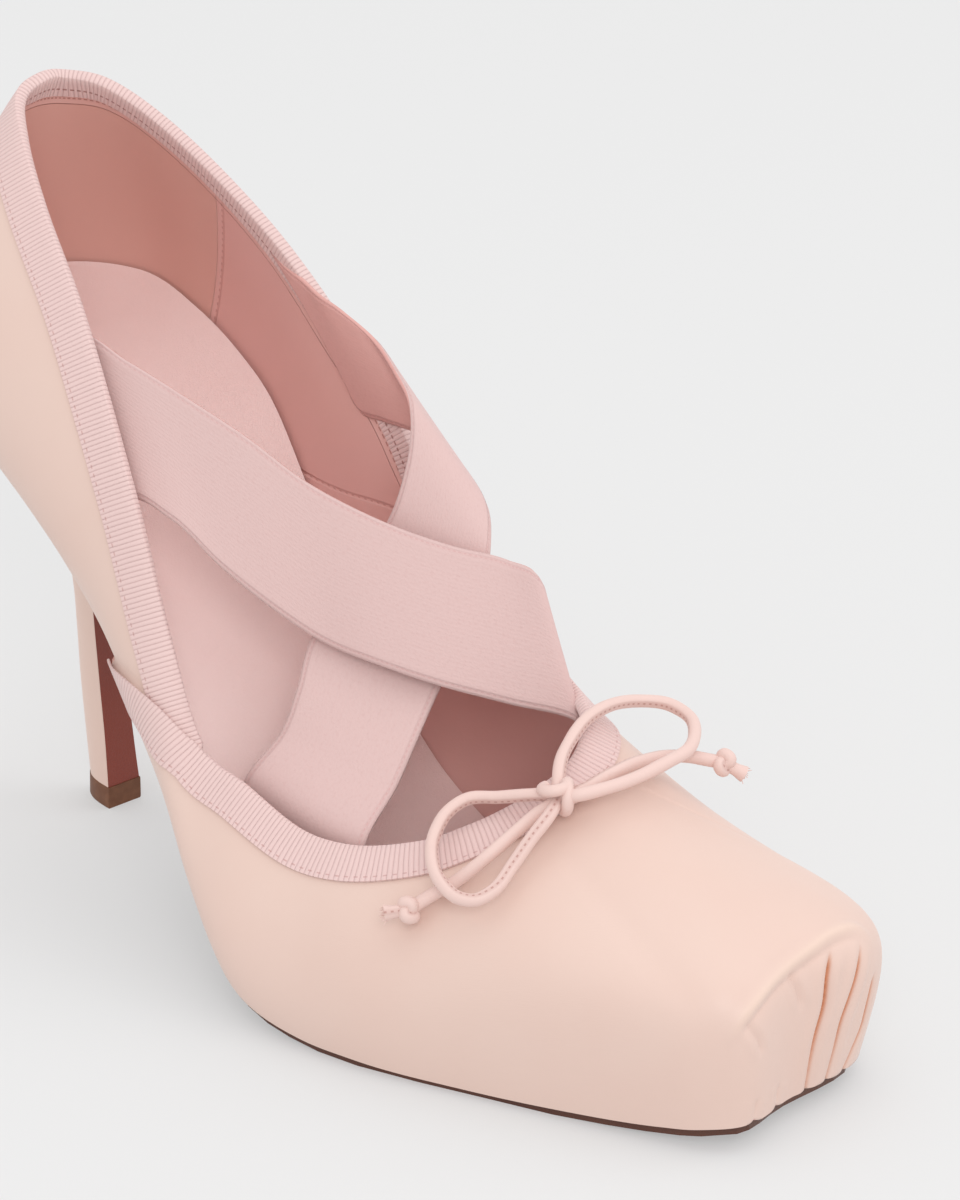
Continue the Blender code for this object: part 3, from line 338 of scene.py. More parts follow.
def loft(
    name: str,
    rings: np.ndarray,
    materials: Sequence[bpy.types.Material],
    band_material: Optional[np.ndarray] = None,
    closed: bool = False,
    lengths: Optional[np.ndarray] = None,
    widths: Optional[np.ndarray] = None,
    sharp: float = 55.0,
    marks: Optional[dict[str, np.ndarray]] = None,
) -> bpy.types.Object:
    """Skin a row of closed rings into one solid piece.

    Args:
        name: the piece's name.
        rings: stations by ring points by (side, along, up), in metres.
        materials: the piece's materials, in slot order.
        band_material: which slot each ring segment wears, by station and ring point or by ring point.
        closed: whether the last ring joins the first.
        lengths: cloth length at each station, and after the last one where closed.
        widths: cloth width at each ring point, and back at the first.
        sharp: edges that fold by more than this angle, in degrees, stay sharp.
        marks: values by station and ring point that the material reads by name.

    Returns:
        The piece, with its cloth lengths and widths, in metres, as the UV map "cloth".
    """
    stations, points = rings.shape[:2]
    spans = stations if closed else stations - 1
    here = np.arange(spans)[:, None]
    after = (here + 1) % stations
    column = np.arange(points)[None, :]
    beside = (column + 1) % points
    quads = np.stack(
        [here * points + column, here * points + beside, after * points + beside, after * points + column], -1
    )
    if lengths is None:
        middle = rings.mean(1)
        middle = np.concatenate([middle, middle[:1]]) if closed else middle
        lengths = path_lengths(middle)
    if widths is None:
        ring = rings[stations // 2]
        widths = path_lengths(np.concatenate([ring, ring[:1]]))
    u = np.broadcast_to(np.asarray(lengths)[:, None], (spans + 1, points + 1))
    v = np.broadcast_to(np.asarray(widths)[None, :], (spans + 1, points + 1))
    grid = np.stack([u, v], -1)
    corners = np.stack([grid[:-1, :-1], grid[:-1, 1:], grid[1:, 1:], grid[1:, :-1]], -2)
    faces = quads.reshape(-1, 4).tolist()
    cloth = corners.reshape(-1, 2)
    slots = np.zeros((spans, points), int)
    if band_material is not None:
        slots[:] = band_material
    slots = slots.reshape(-1)
    if not closed:
        last = (stations - 1) * points
        for cap, row in ((list(range(points)), 0), ([last + i for i in range(points)], -1)):
            faces.append(cap)
            cloth = np.concatenate([cloth, np.stack([u[row, :-1], v[row, :-1]], -1)])
            slots = np.append(slots, slots[0 if row == 0 else -1])
    mesh = bpy.data.meshes.new(name)
    mesh.from_pydata(LAST.place(rings.reshape(-1, 3)).tolist(), [], faces)
    layer = mesh.uv_layers.new(name="cloth")
    layer.data.foreach_set("uv", cloth.reshape(-1))
    mesh.polygons.foreach_set("material_index", slots)
    for material in materials:
        mesh.materials.append(material)
    for label, values in (marks or {}).items():
        mark = mesh.attributes.new(label, "FLOAT", "POINT")
        mark.data.foreach_set("value", np.asarray(values, np.float32).reshape(-1))
    if signed_volume(mesh) < 0:
        mesh.flip_normals()
    mesh.shade_smooth()
    mesh.set_sharp_from_angle(angle=math.radians(sharp))
    mesh.update()
    piece = bpy.data.objects.new(name, mesh)
    bpy.context.scene.collection.objects.link(piece)
    return piece


def signed_volume(mesh: bpy.types.Mesh) -> float:
    """Volume inside a closed mesh, negative where its faces look inward."""
    mesh.calc_loop_triangles()
    points = np.empty(len(mesh.vertices) * 3)
    mesh.vertices.foreach_get("co", points)
    corners = np.empty(len(mesh.loop_triangles) * 3, int)
    mesh.loop_triangles.foreach_get("vertices", corners)
    a, b, c = np.moveaxis(points.reshape(-1, 3)[corners.reshape(-1, 3)], 1, 0)
    return float((a * np.cross(b, c)).sum())


def tube_rings(
    path: np.ndarray,
    radii: np.ndarray,
    points: int = 14,
    start_up: Optional[Sequence[float]] = None,
    twist: Optional[np.ndarray] = None,
) -> np.ndarray:
    """Rings of a round cord along a path, carried along without twist but the given one.

    Args:
        path: the cord's middle line.
        radii: the cord's radius at each point of the path.
        points: points round the cord.
        start_up: a direction that the first ring's height follows.
        twist: how far the cord is turned about itself at each point of the path.

    Returns:
        Rings by points by (side, along, up).
    """
    way = unit(np.gradient(path, axis=0))
    up = np.array(start_up if start_up is not None else (0.0, 0.0, 1.0), float)
    angle = np.arange(points) * 2 * math.pi / points
    twist = np.zeros(len(path)) if twist is None else twist
    rings = []
    for centre, direction, radius, own in zip(path, way, radii, twist):
        up = unit(up - direction * (up @ direction))
        across = np.cross(direction, up)
        spot = (angle + own)[:, None]
        rings.append(centre + radius * (np.cos(spot) * across + np.sin(spot) * up))
    return np.array(rings)


def densify(points: np.ndarray, count: int) -> np.ndarray:
    """Read a path again at evenly spaced places on its smooth curve."""
    lengths = path_lengths(points)
    return smooth_curve(lengths, points, np.linspace(0, lengths[-1], count))


def join_pieces(name: str, pieces: Sequence[bpy.types.Object]) -> bpy.types.Object:
    """Join mesh pieces that share their materials into the first one and rename it."""
    first = pieces[0]
    with bpy.context.temp_override(
        active_object=first, object=first, selected_objects=list(pieces),
        selected_editable_objects=list(pieces),
    ):
        bpy.ops.object.join()
    first.name = name
    first.data.name = name
    return first


# ---------------------------------------------------------------- shader helpers


class Graph:
    """A node tree with short ways to add and link nodes."""

    def __init__(self, tree: bpy.types.NodeTree) -> None:
        """Hold the tree to draw in."""
        self.tree = tree

    def put(self, socket: bpy.types.NodeSocket, value: object) -> None:
        """Link an input to another socket or set its own value; a colour gets a full alpha."""
        if isinstance(value, bpy.types.NodeSocket):
            self.tree.links.new(value, socket)
        elif socket.type == "RGBA":
            socket.default_value = (*value[:3], 1.0)
        else:
            socket.default_value = value

    def node(self, kind: str, inputs: Optional[dict] = None, **settings: object) -> bpy.types.Node:
        """Add a node.

        Args:
            kind: the node's type.
            inputs: a value or a socket for each named or numbered input.
            settings: the node's own properties.

        Returns:
            The new node.
        """
        made = self.tree.nodes.new(kind)
        for key, value in settings.items():
            setattr(made, key, value)
        for key, value in (inputs or {}).items():
            self.put(made.inputs[key], value)
        return made

    def math(self, operation: str, a: object, b: object = 0.0, c: object = 0.0) -> object:
        """Add a Math node and return its result."""
        return self.node("ShaderNodeMath", {0: a, 1: b, 2: c}, operation=operation).outputs[0]

    def ramp(self, value: object, low: float, high: float, start: float = 0.0, end: float = 1.0) -> object:
        """Map a value smoothly from one range to another, held at the ends."""
        made = self.node(
            "ShaderNodeMapRange",
            {"Value": value, "From Min": low, "From Max": high, "To Min": start, "To Max": end},
            interpolation_type="SMOOTHSTEP",
        )
        return made.outputs["Result"]

    def mix(self, share: object, first: object, second: object) -> object:
        """Mix two colours."""
        return self.node("ShaderNodeMix", {0: share, 6: first, 7: second}, data_type="RGBA").outputs[2]

    def lay(self, mask: object, share: float, under: object, over: object) -> object:
        """Lay a share of one colour over another where a mask is."""
        return self.mix(self.math("MULTIPLY", mask, share), under, over)

    def noise(self, vector: object, scale: object, detail: float = 3.0) -> object:
        """Add a noise texture and return its value."""
        made = self.node("ShaderNodeTexNoise", {"Vector": vector, "Scale": scale, "Detail": detail})
        return made.outputs["Fac"]

    def weave(self, cloth: object, along: float, across: float, detail: float = 2.0) -> object:
        """Add a noise drawn out along a cloth, with its scale along and across, and return its value."""
        return self.noise(self.stretch(cloth, (along, across, 1.0)), 1.0, detail)

    def bump(self, height: object, distance: float, strength: float = 1.0, under: object = None) -> object:
        """Add a Bump node and return its normal."""
        inputs = {"Height": height, "Distance": distance, "Strength": strength}
        if under is not None:
            inputs["Normal"] = under
        return self.node("ShaderNodeBump", inputs).outputs["Normal"]

    def split(self, vector: object) -> tuple[object, object, object]:
        """The three parts of a vector."""
        return tuple(self.node("ShaderNodeSeparateXYZ", {0: vector}).outputs)

    def stretch(self, vector: object, scale: Sequence[float]) -> object:
        """A vector scaled differently along each of its parts."""
        inputs = {0: vector, 1: tuple(scale)}
        return self.node("ShaderNodeVectorMath", inputs, operation="MULTIPLY").outputs[0]

    def cloth(self) -> object:
        """How far along and across its cloth a place is, in metres."""
        return self.node("ShaderNodeUVMap", uv_map="cloth").outputs[0]

    def place(self) -> object:
        """Where a place is in the piece, in metres."""
        return self.node("ShaderNodeTexCoord").outputs["Object"]

    def mark(self, name: str) -> object:
        """The value that a piece carries under this name."""
        return self.node("ShaderNodeAttribute", attribute_name=name).outputs["Fac"]


class GroupGraph(Graph):
    """The graph of a shader node group."""

    def __init__(
        self, name: str, inputs: Sequence[tuple[str, str, object]], outputs: Sequence[tuple[str, str]]
    ) -> None:
        """Start the group.

        Args:
            name: the group's name.
            inputs: name, socket type and default value of each input.
            outputs: name and socket type of each output.
        """
        super().__init__(bpy.data.node_groups.new(name, "ShaderNodeTree"))
        for label, kind, value in inputs:
            socket = self.tree.interface.new_socket(label, in_out="INPUT", socket_type=kind)
            if value is not None:
                socket.default_value = value
        for label, kind in outputs:
            self.tree.interface.new_socket(label, in_out="OUTPUT", socket_type=kind)
        self.given = self.node("NodeGroupInput").outputs

    def give(self, **results: object) -> bpy.types.NodeTree:
        """Link the results to the group's outputs and return its tree."""
        self.node("NodeGroupOutput", results)
        return self.tree


VECTOR, FLOAT, COLOUR = "NodeSocketVector", "NodeSocketFloat", "NodeSocketColor"


@dataclass(frozen=True)
class Stitch:
    """A kind of stitching: its pitch and thread in metres, and the share of the pitch that a stitch takes."""

    pitch: float
    thread: float
    dash: float


class Effects:
    """Node groups shared by the shoe's materials, each built once."""

    def __init__(self) -> None:
        """Build every group."""
        self.tint = self._tint()
        self.ribs = self._ribs()
        self.stitches = self._stitches()
        self.threads = self._threads()

    def _tint(self) -> bpy.types.NodeTree:
        """Cloudy variation of a colour, as in dyed cloth or leather."""
        graph = GroupGraph(
            "uneven_dye",
            [("Place", VECTOR, None), ("Colour", COLOUR, None), ("Patch Colour", COLOUR, None),
             ("Patch Scale", FLOAT, 60.0), ("Amount", FLOAT, 0.3)],
            [("Colour", COLOUR)],
        )
        given = graph.given
        patch = graph.noise(given["Place"], given["Patch Scale"], 4.0)
        share = graph.math("MULTIPLY", graph.ramp(patch, 0.35, 0.68), given["Amount"])
        return graph.give(Colour=graph.mix(share, given["Colour"], given["Patch Colour"]))

    def _ribs(self) -> bpy.types.NodeTree:
        """Round cords woven across a ribbon, with slightly uneven widths and fine warp threads."""
        graph = GroupGraph(
            "woven_ribs",
            [("Cloth", VECTOR, None), ("Pitch", FLOAT, 0.0011), ("Thread", FLOAT, 0.00022)],
            [("Height", FLOAT), ("Groove", FLOAT)],
        )
        given = graph.given
        unevenness, roundness, warp_height = 0.0004, 0.55, 0.05
        length, width, _ = graph.split(given["Cloth"])
        wobble = graph.math("SUBTRACT", graph.weave(given["Cloth"], 220.0, 120.0), 0.5)
        shifted = graph.math("ADD", length, graph.math("MULTIPLY", wobble, unevenness))
        phase = graph.math("DIVIDE", shifted, given["Pitch"])
        swing = graph.math("ABSOLUTE", graph.math("SINE", graph.math("MULTIPLY", phase, math.pi)))
        rib = graph.math("POWER", swing, roundness)
        warp_phase = graph.math("MULTIPLY", graph.math("DIVIDE", width, given["Thread"]), 2 * math.pi)
        warp = graph.math("MULTIPLY", graph.math("SINE", warp_phase), warp_height)
        # mask of the shade painted in the grooves between the cords
        groove_shade = graph.math("SUBTRACT", 1.0, graph.ramp(rib, 0.2, 0.75))
        return graph.give(Height=graph.math("ADD", rib, warp), Groove=groove_shade)

    def _stitches(self) -> bpy.types.NodeTree:
        """A dashed line of stitches along a cloth, at one distance across it."""
        graph = GroupGraph(
            "stitch_line",
            [("Along", FLOAT, 0.0), ("Across", FLOAT, 0.0), ("Line", FLOAT, 0.0), ("Pitch", FLOAT, 0.0014),
             ("Thread", FLOAT, 0.00016), ("Dash", FLOAT, 0.62)],
            [("Mask", FLOAT), ("Dip", FLOAT)],
        )
        given = graph.given
        away = graph.math("ABSOLUTE", graph.math("SUBTRACT", given["Across"], given["Line"]))
        ratio = graph.math("DIVIDE", away, given["Thread"])
        on_line = graph.ramp(ratio, 0.6, 1.3, 1.0, 0.0)
        step = graph.math("FRACT", graph.math("DIVIDE", given["Along"], given["Pitch"]))
        middle = graph.math("ABSOLUTE", graph.math("SUBTRACT", step, 0.5))
        edge = graph.math("DIVIDE", middle, graph.math("MULTIPLY", given["Dash"], 0.5))
        dash = graph.ramp(edge, 0.8, 1.15, 1.0, 0.0)
        dip = graph.ramp(ratio, 0.5, 4.0, 1.0, 0.0)
        return graph.give(Mask=graph.math("MULTIPLY", on_line, dash), Dip=dip)

    def _threads(self) -> bpy.types.NodeTree:
        """Fine woven threads as a height: long floats one way, small steps the other."""
        graph = GroupGraph(
            "fine_threads",
            [("Cloth", VECTOR, None), ("Pitch", FLOAT, 0.0003), ("Float Length", FLOAT, 5.0)],
            [("Height", FLOAT)],
        )
        given = graph.given
        length, width, _ = graph.split(given["Cloth"])
        wide = graph.math("DIVIDE", width, given["Pitch"])
        long = graph.math("DIVIDE", graph.math("DIVIDE", length, given["Pitch"]), given["Float Length"])
        place = graph.node("ShaderNodeCombineXYZ", {0: long, 1: wide, 2: 0.0}).outputs[0]
        return graph.give(Height=graph.noise(place, 1.0, 2.0))

    def dye(
        self, graph: Graph, place: object, colour: object, patch: Colour, scale: float, amount: float
    ) -> object:
        """Colour a place unevenly: patches of a second colour, at a scale and up to an amount."""
        values = {"Place": place, "Colour": colour, "Patch Colour": patch, "Patch Scale": scale,
                  "Amount": amount}
        return graph.node("ShaderNodeGroup", values, node_tree=self.tint).outputs["Colour"]

    def sew(
        self, graph: Graph, along: object, across: object, line: float, stitch: Stitch
    ) -> tuple[object, object]:
        """Sew a line at one distance across a cloth; return its stitches' mask and the dip they make."""
        values = {"Along": along, "Across": across, "Line": line, "Pitch": stitch.pitch,
                  "Thread": stitch.thread, "Dash": stitch.dash}
        made = graph.node("ShaderNodeGroup", values, node_tree=self.stitches)
        return made.outputs["Mask"], made.outputs["Dip"]

    def thread(self, graph: Graph, cloth: object, pitch: float, float_length: float) -> object:
        """Weave fine threads with floats of so many pitches, and return their height."""
        values = {"Cloth": cloth, "Pitch": pitch, "Float Length": float_length}
        return graph.node("ShaderNodeGroup", values, node_tree=self.threads).outputs["Height"]


def new_material(name: str) -> tuple[bpy.types.Material, Graph, bpy.types.Node]:
    """Start a material and hand back its graph and its Principled shader."""
    material = bpy.data.materials.new(name)
    material.use_nodes = True
    return material, Graph(material.node_tree), material.node_tree.nodes["Principled BSDF"]


def settle(graph: Graph, shader: bpy.types.Node, **values: object) -> None:
    """Set or link the shader's own inputs, named with underscores for spaces."""
    for key, value in values.items():
        graph.put(shader.inputs[key.replace("_", " ")], value)


# ---------------------------------------------------------------- finishes

WARM_SHEEN = (1.0, 0.93, 0.90)
ROSE_SHEEN = (1.0, 0.92, 0.92)


@dataclass(frozen=True)
class SatinFinish:
    """Dyed satin: a soft sheen over fine long threads, slightly uneven in tone.

    The "crease" mark paints shade into the toe's pleats, and below 0 a highlight along the rim's ridge.
    """

    name: str = "satin_cloth"
    colour: Colour = (0.732, 0.545, 0.475)
    patch: Colour = (0.710, 0.504, 0.434)
    roughness: float = 0.46
    # painted shade, with an orange bounce light, laid into the toe's pleats
    crease: Colour = (0.600, 0.215, 0.085)
    # painted highlight laid along the rim's ridge
    ridge_highlight: Colour = (0.790, 0.605, 0.505)
    mark_share: float = 0.9
    patch_scale: float = 38.0
    patch_amount: float = 0.35
    fleck_scale: float = 900.0
    fleck_share: float = 0.18
    thread_pitch: float = 0.00022
    float_length: float = 7.0
    thread_height: float = 0.00003
    cloud_scale: float = 55.0
    cloud_height: float = 0.0004

    def build(self, effects: Effects) -> bpy.types.Material:
        """Make the material."""
        material, graph, shader = new_material(self.name)
        place = graph.place()
        tint = effects.dye(graph, place, self.colour, self.patch, self.patch_scale, self.patch_amount)
        fleck = graph.noise(place, self.fleck_scale, 2.0)
        tint = graph.mix(graph.ramp(fleck, 0.70, 0.82, 0.0, self.fleck_share), tint, self.patch)
        # painted shade in the pleats and painted highlight on the ridge, read from the upper's crease mark
        crease_light = graph.mark("crease")
        tint = graph.mix(graph.ramp(crease_light, 0.02, 1.0, 0.0, self.mark_share), tint, self.crease)
        tint = graph.mix(graph.ramp(crease_light, -1.0, -0.02, self.mark_share, 0.0), tint, self.ridge_highlight)
        threads = effects.thread(graph, graph.cloth(), self.thread_pitch, self.float_length)
        cloudy = graph.noise(place, self.cloud_scale)
        normal = graph.bump(threads, self.thread_height, 0.7)
        normal = graph.bump(cloudy, self.cloud_height, 0.35, normal)
        roughness = graph.ramp(cloudy, 0.3, 0.7, self.roughness - 0.04, self.roughness + 0.05)
        settle(graph, shader, Base_Color=tint, Roughness=roughness, Normal=normal, Sheen_Weight=0.20,
               Sheen_Roughness=0.45, Sheen_Tint=WARM_SHEEN, Specular_IOR_Level=0.35)
        return material


@dataclass(frozen=True)
class GrosgrainFinish:
    """Ribbed ribbon: raised cords across it, with shade painted in the grooves, and a seam near each edge."""

    name: str = "grosgrain_ribbon"
    colour: Colour = (0.755, 0.552, 0.527)
    # painted shade between the cords
    groove_shade: Colour = (0.670, 0.420, 0.400)
    groove_shade_share: float = 0.55
    thread: Colour = (0.52, 0.27, 0.25)
    dark_thread: Colour = (0.36, 0.15, 0.13)
    pitch: float = 0.00087
    warp_pitch: float = 0.00024
    rib_height: float = 0.00018
    fuzz_scale: float = 2600.0
    fuzz_share: float = 0.25
    fuzz_height: float = 0.00004
    seam_at: float = 0.0008
    seam: Stitch = Stitch(0.0016, 0.00013, 0.45)
    seam_share: float = 0.6
    inner_seam_at: float = 0.0121
    inner_seam: Stitch = Stitch(0.0013, 0.00020, 0.6)
    inner_seam_share: float = 0.85

    def build(self, effects: Effects) -> bpy.types.Material:
        """Make the material."""
        material, graph, shader = new_material(self.name)
        cloth = graph.cloth()
        values = {"Cloth": cloth, "Pitch": self.pitch, "Thread": self.warp_pitch}
        ribs = graph.node("ShaderNodeGroup", values, node_tree=effects.ribs).outputs
        length, width, _ = graph.split(cloth)
        seam, _ = effects.sew(graph, length, width, self.seam_at, self.seam)
        inner, _ = effects.sew(graph, length, width, self.inner_seam_at, self.inner_seam)
        fuzz = graph.weave(cloth, self.fuzz_scale, self.fuzz_scale)
        # painted shade in the grooves
        base = graph.lay(ribs["Groove"], self.groove_shade_share, self.colour, self.groove_shade)
        # random fuzz flecks reuse the groove shade colour
        base = graph.mix(graph.ramp(fuzz, 0.55, 0.8, 0.0, self.fuzz_share), base, self.groove_shade)
        base = graph.lay(seam, self.seam_share, base, self.thread)
        base = graph.lay(inner, self.inner_seam_share, base, self.dark_thread)
        normal = graph.bump(ribs["Height"], self.rib_height, 0.9)
        normal = graph.bump(fuzz, self.fuzz_height, 0.5, normal)
        settle(graph, shader, Base_Color=base, Normal=normal, Roughness=0.62, Sheen_Weight=0.25,
               Sheen_Roughness=0.5, Sheen_Tint=ROSE_SHEEN, Specular_IOR_Level=0.25)
        return material


@dataclass(frozen=True)
class ElasticFinish:
    """Knitted elastic: fine cords along it, crossed by small threads, with a turned and stitched edge."""

    name: str = "elastic_band"
    colour: Colour = (0.668, 0.471, 0.450)
    shade: Colour = (0.610, 0.400, 0.379)
    shade_share: float = 0.35
    thread: Colour = (0.58, 0.32, 0.31)
    thread_share: float = 0.45
    dip_shade_share: float = 0.16
    width: float = 0.0245
    cord_pitch: float = 0.00075
    cord_height: float = 0.10
    thread_pitch: float = 0.00034
    float_length: float = 1.3
    speck_scale: float = 1500.0
    edge: float = 0.0008
    seam: Stitch = Stitch(0.0010, 0.00012, 0.5)
    weave_height: float = 0.00007
    seam_depth: float = 0.00016

    def build(self, effects: Effects) -> bpy.types.Material:
        """Make the material."""
        material, graph, shader = new_material(self.name)
        cloth = graph.cloth()
        length, width, _ = graph.split(cloth)
        inset = graph.math("MINIMUM", width, graph.math("SUBTRACT", self.width, width))
        fine = effects.thread(graph, cloth, self.thread_pitch, self.float_length)
        cord = graph.math("SINE", graph.math("MULTIPLY", width, 2 * math.pi / self.cord_pitch))
        mask, dip = effects.sew(graph, length, inset, self.edge, self.seam)
        speck = graph.weave(cloth, self.speck_scale, self.speck_scale)
        tone = graph.mix(graph.ramp(speck, 0.46, 0.75, 0.0, self.shade_share), self.colour, self.shade)
        tone = graph.lay(mask, self.thread_share, tone, self.thread)
        # painted shade in the sunken dip beside the stitches
        tone = graph.lay(dip, self.dip_shade_share, tone, self.thread)
        height = graph.math("ADD", graph.math("MULTIPLY", cord, self.cord_height), fine)
        normal = graph.bump(height, self.weave_height, 0.8)
        normal = graph.bump(graph.math("SUBTRACT", 1.0, dip), self.seam_depth, 0.8, normal)
        settle(graph, shader, Base_Color=tone, Normal=normal, Roughness=0.72, Sheen_Weight=0.20,
               Sheen_Roughness=0.5, Sheen_Tint=ROSE_SHEEN, Specular_IOR_Level=0.2)
        return material


@dataclass(frozen=True)
class CordFinish:
    """Satin cord: cloth wound round a core, with one stitched seam along it."""

    name: str = "satin_cord"
    colour: Colour = (0.755, 0.552, 0.503)
    thread: Colour = (0.42, 0.20, 0.17)
    thread_share: float = 0.7
    dip_shade_share: float = 0.25
    seam_at: float = 0.0030
    seam: Stitch = Stitch(0.0012, 0.00017, 0.42)
    seam_depth: float = 0.00016
    pucker_scale: tuple[float, float] = (1100.0, 260.0)
    pucker_height: float = 0.00010

    def build(self, effects: Effects) -> bpy.types.Material:
        """Make the material."""
        material, graph, shader = new_material(self.name)
        cloth = graph.cloth()
        length, width, _ = graph.split(cloth)
        mask, dip = effects.sew(graph, length, width, self.seam_at, self.seam)
        pucker = graph.weave(cloth, *self.pucker_scale)
        tone = graph.lay(mask, self.thread_share, self.colour, self.thread)
        # painted shade in the sunken dip beside the stitches
        tone = graph.lay(dip, self.dip_shade_share, tone, self.thread)
        normal = graph.bump(pucker, self.pucker_height, 0.7)
        normal = graph.bump(graph.math("SUBTRACT", 1.0, dip), self.seam_depth, 0.7, normal)
        settle(graph, shader, Base_Color=tone, Normal=normal, Roughness=0.50, Sheen_Weight=0.2,
               Sheen_Roughness=0.45, Sheen_Tint=WARM_SHEEN, Specular_IOR_Level=0.35)
        return material


class Hide(Enum):
    """Where a leather is used on the shoe."""

    INSOLE = "insole_leather"
    SOLE = "sole_leather"
    BREAST = "breast_leather"


@dataclass(frozen=True)
class LeatherFinish:
    """Smooth leather: fine grain, cloudy colour and a soft or polished surface."""

    hide: Hide
    colour: Colour
    patch: Colour
    roughness: float = 0.5
    patch_scale: float = 45.0
    patch_amount: float = 0.5
    grain: float = 1400.0
    grain_depth: float = 0.00003
    fold_scale: float = 120.0
    fold_height: float = 0.0003
    coat: float = 0.0

    def build(self, effects: Effects) -> bpy.types.Material:
        """Make the material."""
        material, graph, shader = new_material(self.hide.value)
        place = graph.place()
        tone = effects.dye(graph, place, self.colour, self.patch, self.patch_scale, self.patch_amount)
        cells = graph.node(
            "ShaderNodeTexVoronoi", {"Vector": place, "Scale": self.grain}, feature="DISTANCE_TO_EDGE"
        ).outputs["Distance"]
        fold = graph.noise(place, self.fold_scale, 4.0)
        normal = graph.bump(graph.ramp(cells, 0.0, 0.12), self.grain_depth, 0.8)
        normal = graph.bump(fold, self.fold_height, 0.3, normal)
        roughness = graph.ramp(fold, 0.3, 0.7, self.roughness - 0.05, self.roughness + 0.06)
        settle(graph, shader, Base_Color=tone, Roughness=roughness, Normal=normal,
               Specular_IOR_Level=0.4, Coat_Weight=self.coat, Coat_Roughness=0.2)
        return material


@dataclass(frozen=True)
class LiningFinish:
    """Lining of the upper: a grip at the heel, a front, their seams, and a folded strip at the edge.

    The upper's marks give half turn and rise at each place, and how far below the edge it is in metres.
    """

    name: str = "lining_leather"
    grip: Colour = (0.705, 0.398, 0.340)
    front: Colour = (0.735, 0.420, 0.383)
    strip: Colour = (0.765, 0.480, 0.437)
    strip_share: float = 0.7
    patch_scale: float = 45.0
    patch_amount: float = 0.25
    thread: Colour = (0.46, 0.20, 0.17)
    grip_seam: tuple[float, float] = (0.168, 0.034)
    vamp_seam: tuple[float, float] = (0.271, 0.184)
    seam_at: float = 0.0011
    seam_stitch: Stitch = Stitch(0.0017, 0.00016, 0.4)
    seam_share: float = 0.55
    turn_reach: float = 0.265
    rise_reach: float = 0.046
    ribbon_edge: float = 0.0049
    hem_stitch: Stitch = Stitch(0.0012, 0.00018, 0.6)
    hem_share: float = 0.85
    strip_edge: float = 0.0062
    edge_blur: float = 0.0001
    grain_scale: float = 2200.0
    grain_depth: float = 0.00003
    fold_scale: float = 120.0
    fold_height: float = 0.0003
    step_height: float = 0.0004

    def seam(
        self, graph: Graph, effects: Effects, half: object, rise: object, line: tuple[float, float]
    ) -> tuple[object, object, object]:
        """Draw one seam that leans with the rise.

        Args:
            graph: the material's graph.
            effects: the shared groups.
            half: socket of the half turn.
            rise: socket of the rise.
            line: the seam's half turn at the foot line, and how much it grows up to the edge.

        Returns:
            How far past the seam each place is in metres, and the stitches' mask and dip.
        """
        there = graph.math("MULTIPLY_ADD", rise, line[1], line[0])
        past = graph.math("MULTIPLY", graph.math("SUBTRACT", half, there), self.turn_reach)
        along = graph.math("MULTIPLY", rise, self.rise_reach)
        return past, *effects.sew(graph, along, past, self.seam_at, self.seam_stitch)

    def build(self, effects: Effects) -> bpy.types.Material:
        """Make the material."""
        material, graph, shader = new_material(self.name)
        place = graph.place()
        half, rise, depth = (graph.mark(name) for name in ("half_turn", "rise", "below_edge"))
        grip_past, grip_mask, grip_dip = self.seam(graph, effects, half, rise, self.grip_seam)
        _, vamp_mask, vamp_dip = self.seam(graph, effects, half, rise, self.vamp_seam)
        blur = self.edge_blur
        tone = graph.mix(graph.ramp(grip_past, -blur, blur), self.grip, self.front)
        inside_strip = graph.ramp(depth, self.strip_edge - blur, self.strip_edge + blur, 1.0, 0.0)
        tone = graph.lay(inside_strip, self.strip_share, tone, self.strip)
        tone = effects.dye(graph, place, tone, self.grip, self.patch_scale, self.patch_amount)
        length = graph.split(graph.cloth())[0]
        hem, _ = effects.sew(graph, length, depth, self.ribbon_edge, self.hem_stitch)
        threads = graph.math("MULTIPLY", graph.math("MAXIMUM", grip_mask, vamp_mask), self.seam_share)
        sewn = graph.math("MAXIMUM", threads, graph.math("MULTIPLY", hem, self.hem_share))
        tone = graph.mix(sewn, tone, self.thread)
        fold = graph.noise(place, self.fold_scale, 4.0)
        grain = graph.noise(place, self.grain_scale, 2.0)
        step = graph.math("ADD", inside_strip, graph.ramp(grip_past, -0.0003, 0.0, 1.0, 0.0))
        dips = graph.math("MULTIPLY", graph.math("MAXIMUM", grip_dip, vamp_dip), 0.5)
        normal = graph.bump(grain, self.grain_depth, 0.6)
        normal = graph.bump(fold, self.fold_height, 0.3, normal)
        normal = graph.bump(graph.math("SUBTRACT", step, dips), self.step_height, 0.9, normal)
        settle(graph, shader, Base_Color=tone, Normal=normal, Roughness=0.5, Specular_IOR_Level=0.4)
        return material


@dataclass(frozen=True)
class RubberFinish:
    """Hard rubber of the heel's top piece, with fine moulded layers."""

    name: str = "top_piece_rubber"
    colour: Colour = (0.155, 0.055, 0.022)
    patch: Colour = (0.215, 0.085, 0.038)
    patch_scale: float = 500.0
    patch_amount: float = 0.6
    layer_scale: tuple[float, float, float] = (400.0, 400.0, 3000.0)
    layer_height: float = 0.00004

    def build(self, effects: Effects) -> bpy.types.Material:
        """Make the material."""
        material, graph, shader = new_material(self.name)
        place = graph.place()
        tone = effects.dye(graph, place, self.colour, self.patch, self.patch_scale, self.patch_amount)
        layers = graph.noise(graph.stretch(place, self.layer_scale), 1.0)
        settle(graph, shader, Base_Color=tone, Normal=graph.bump(layers, self.layer_height, 0.6),
               Roughness=0.5, Specular_IOR_Level=0.4)
        return material


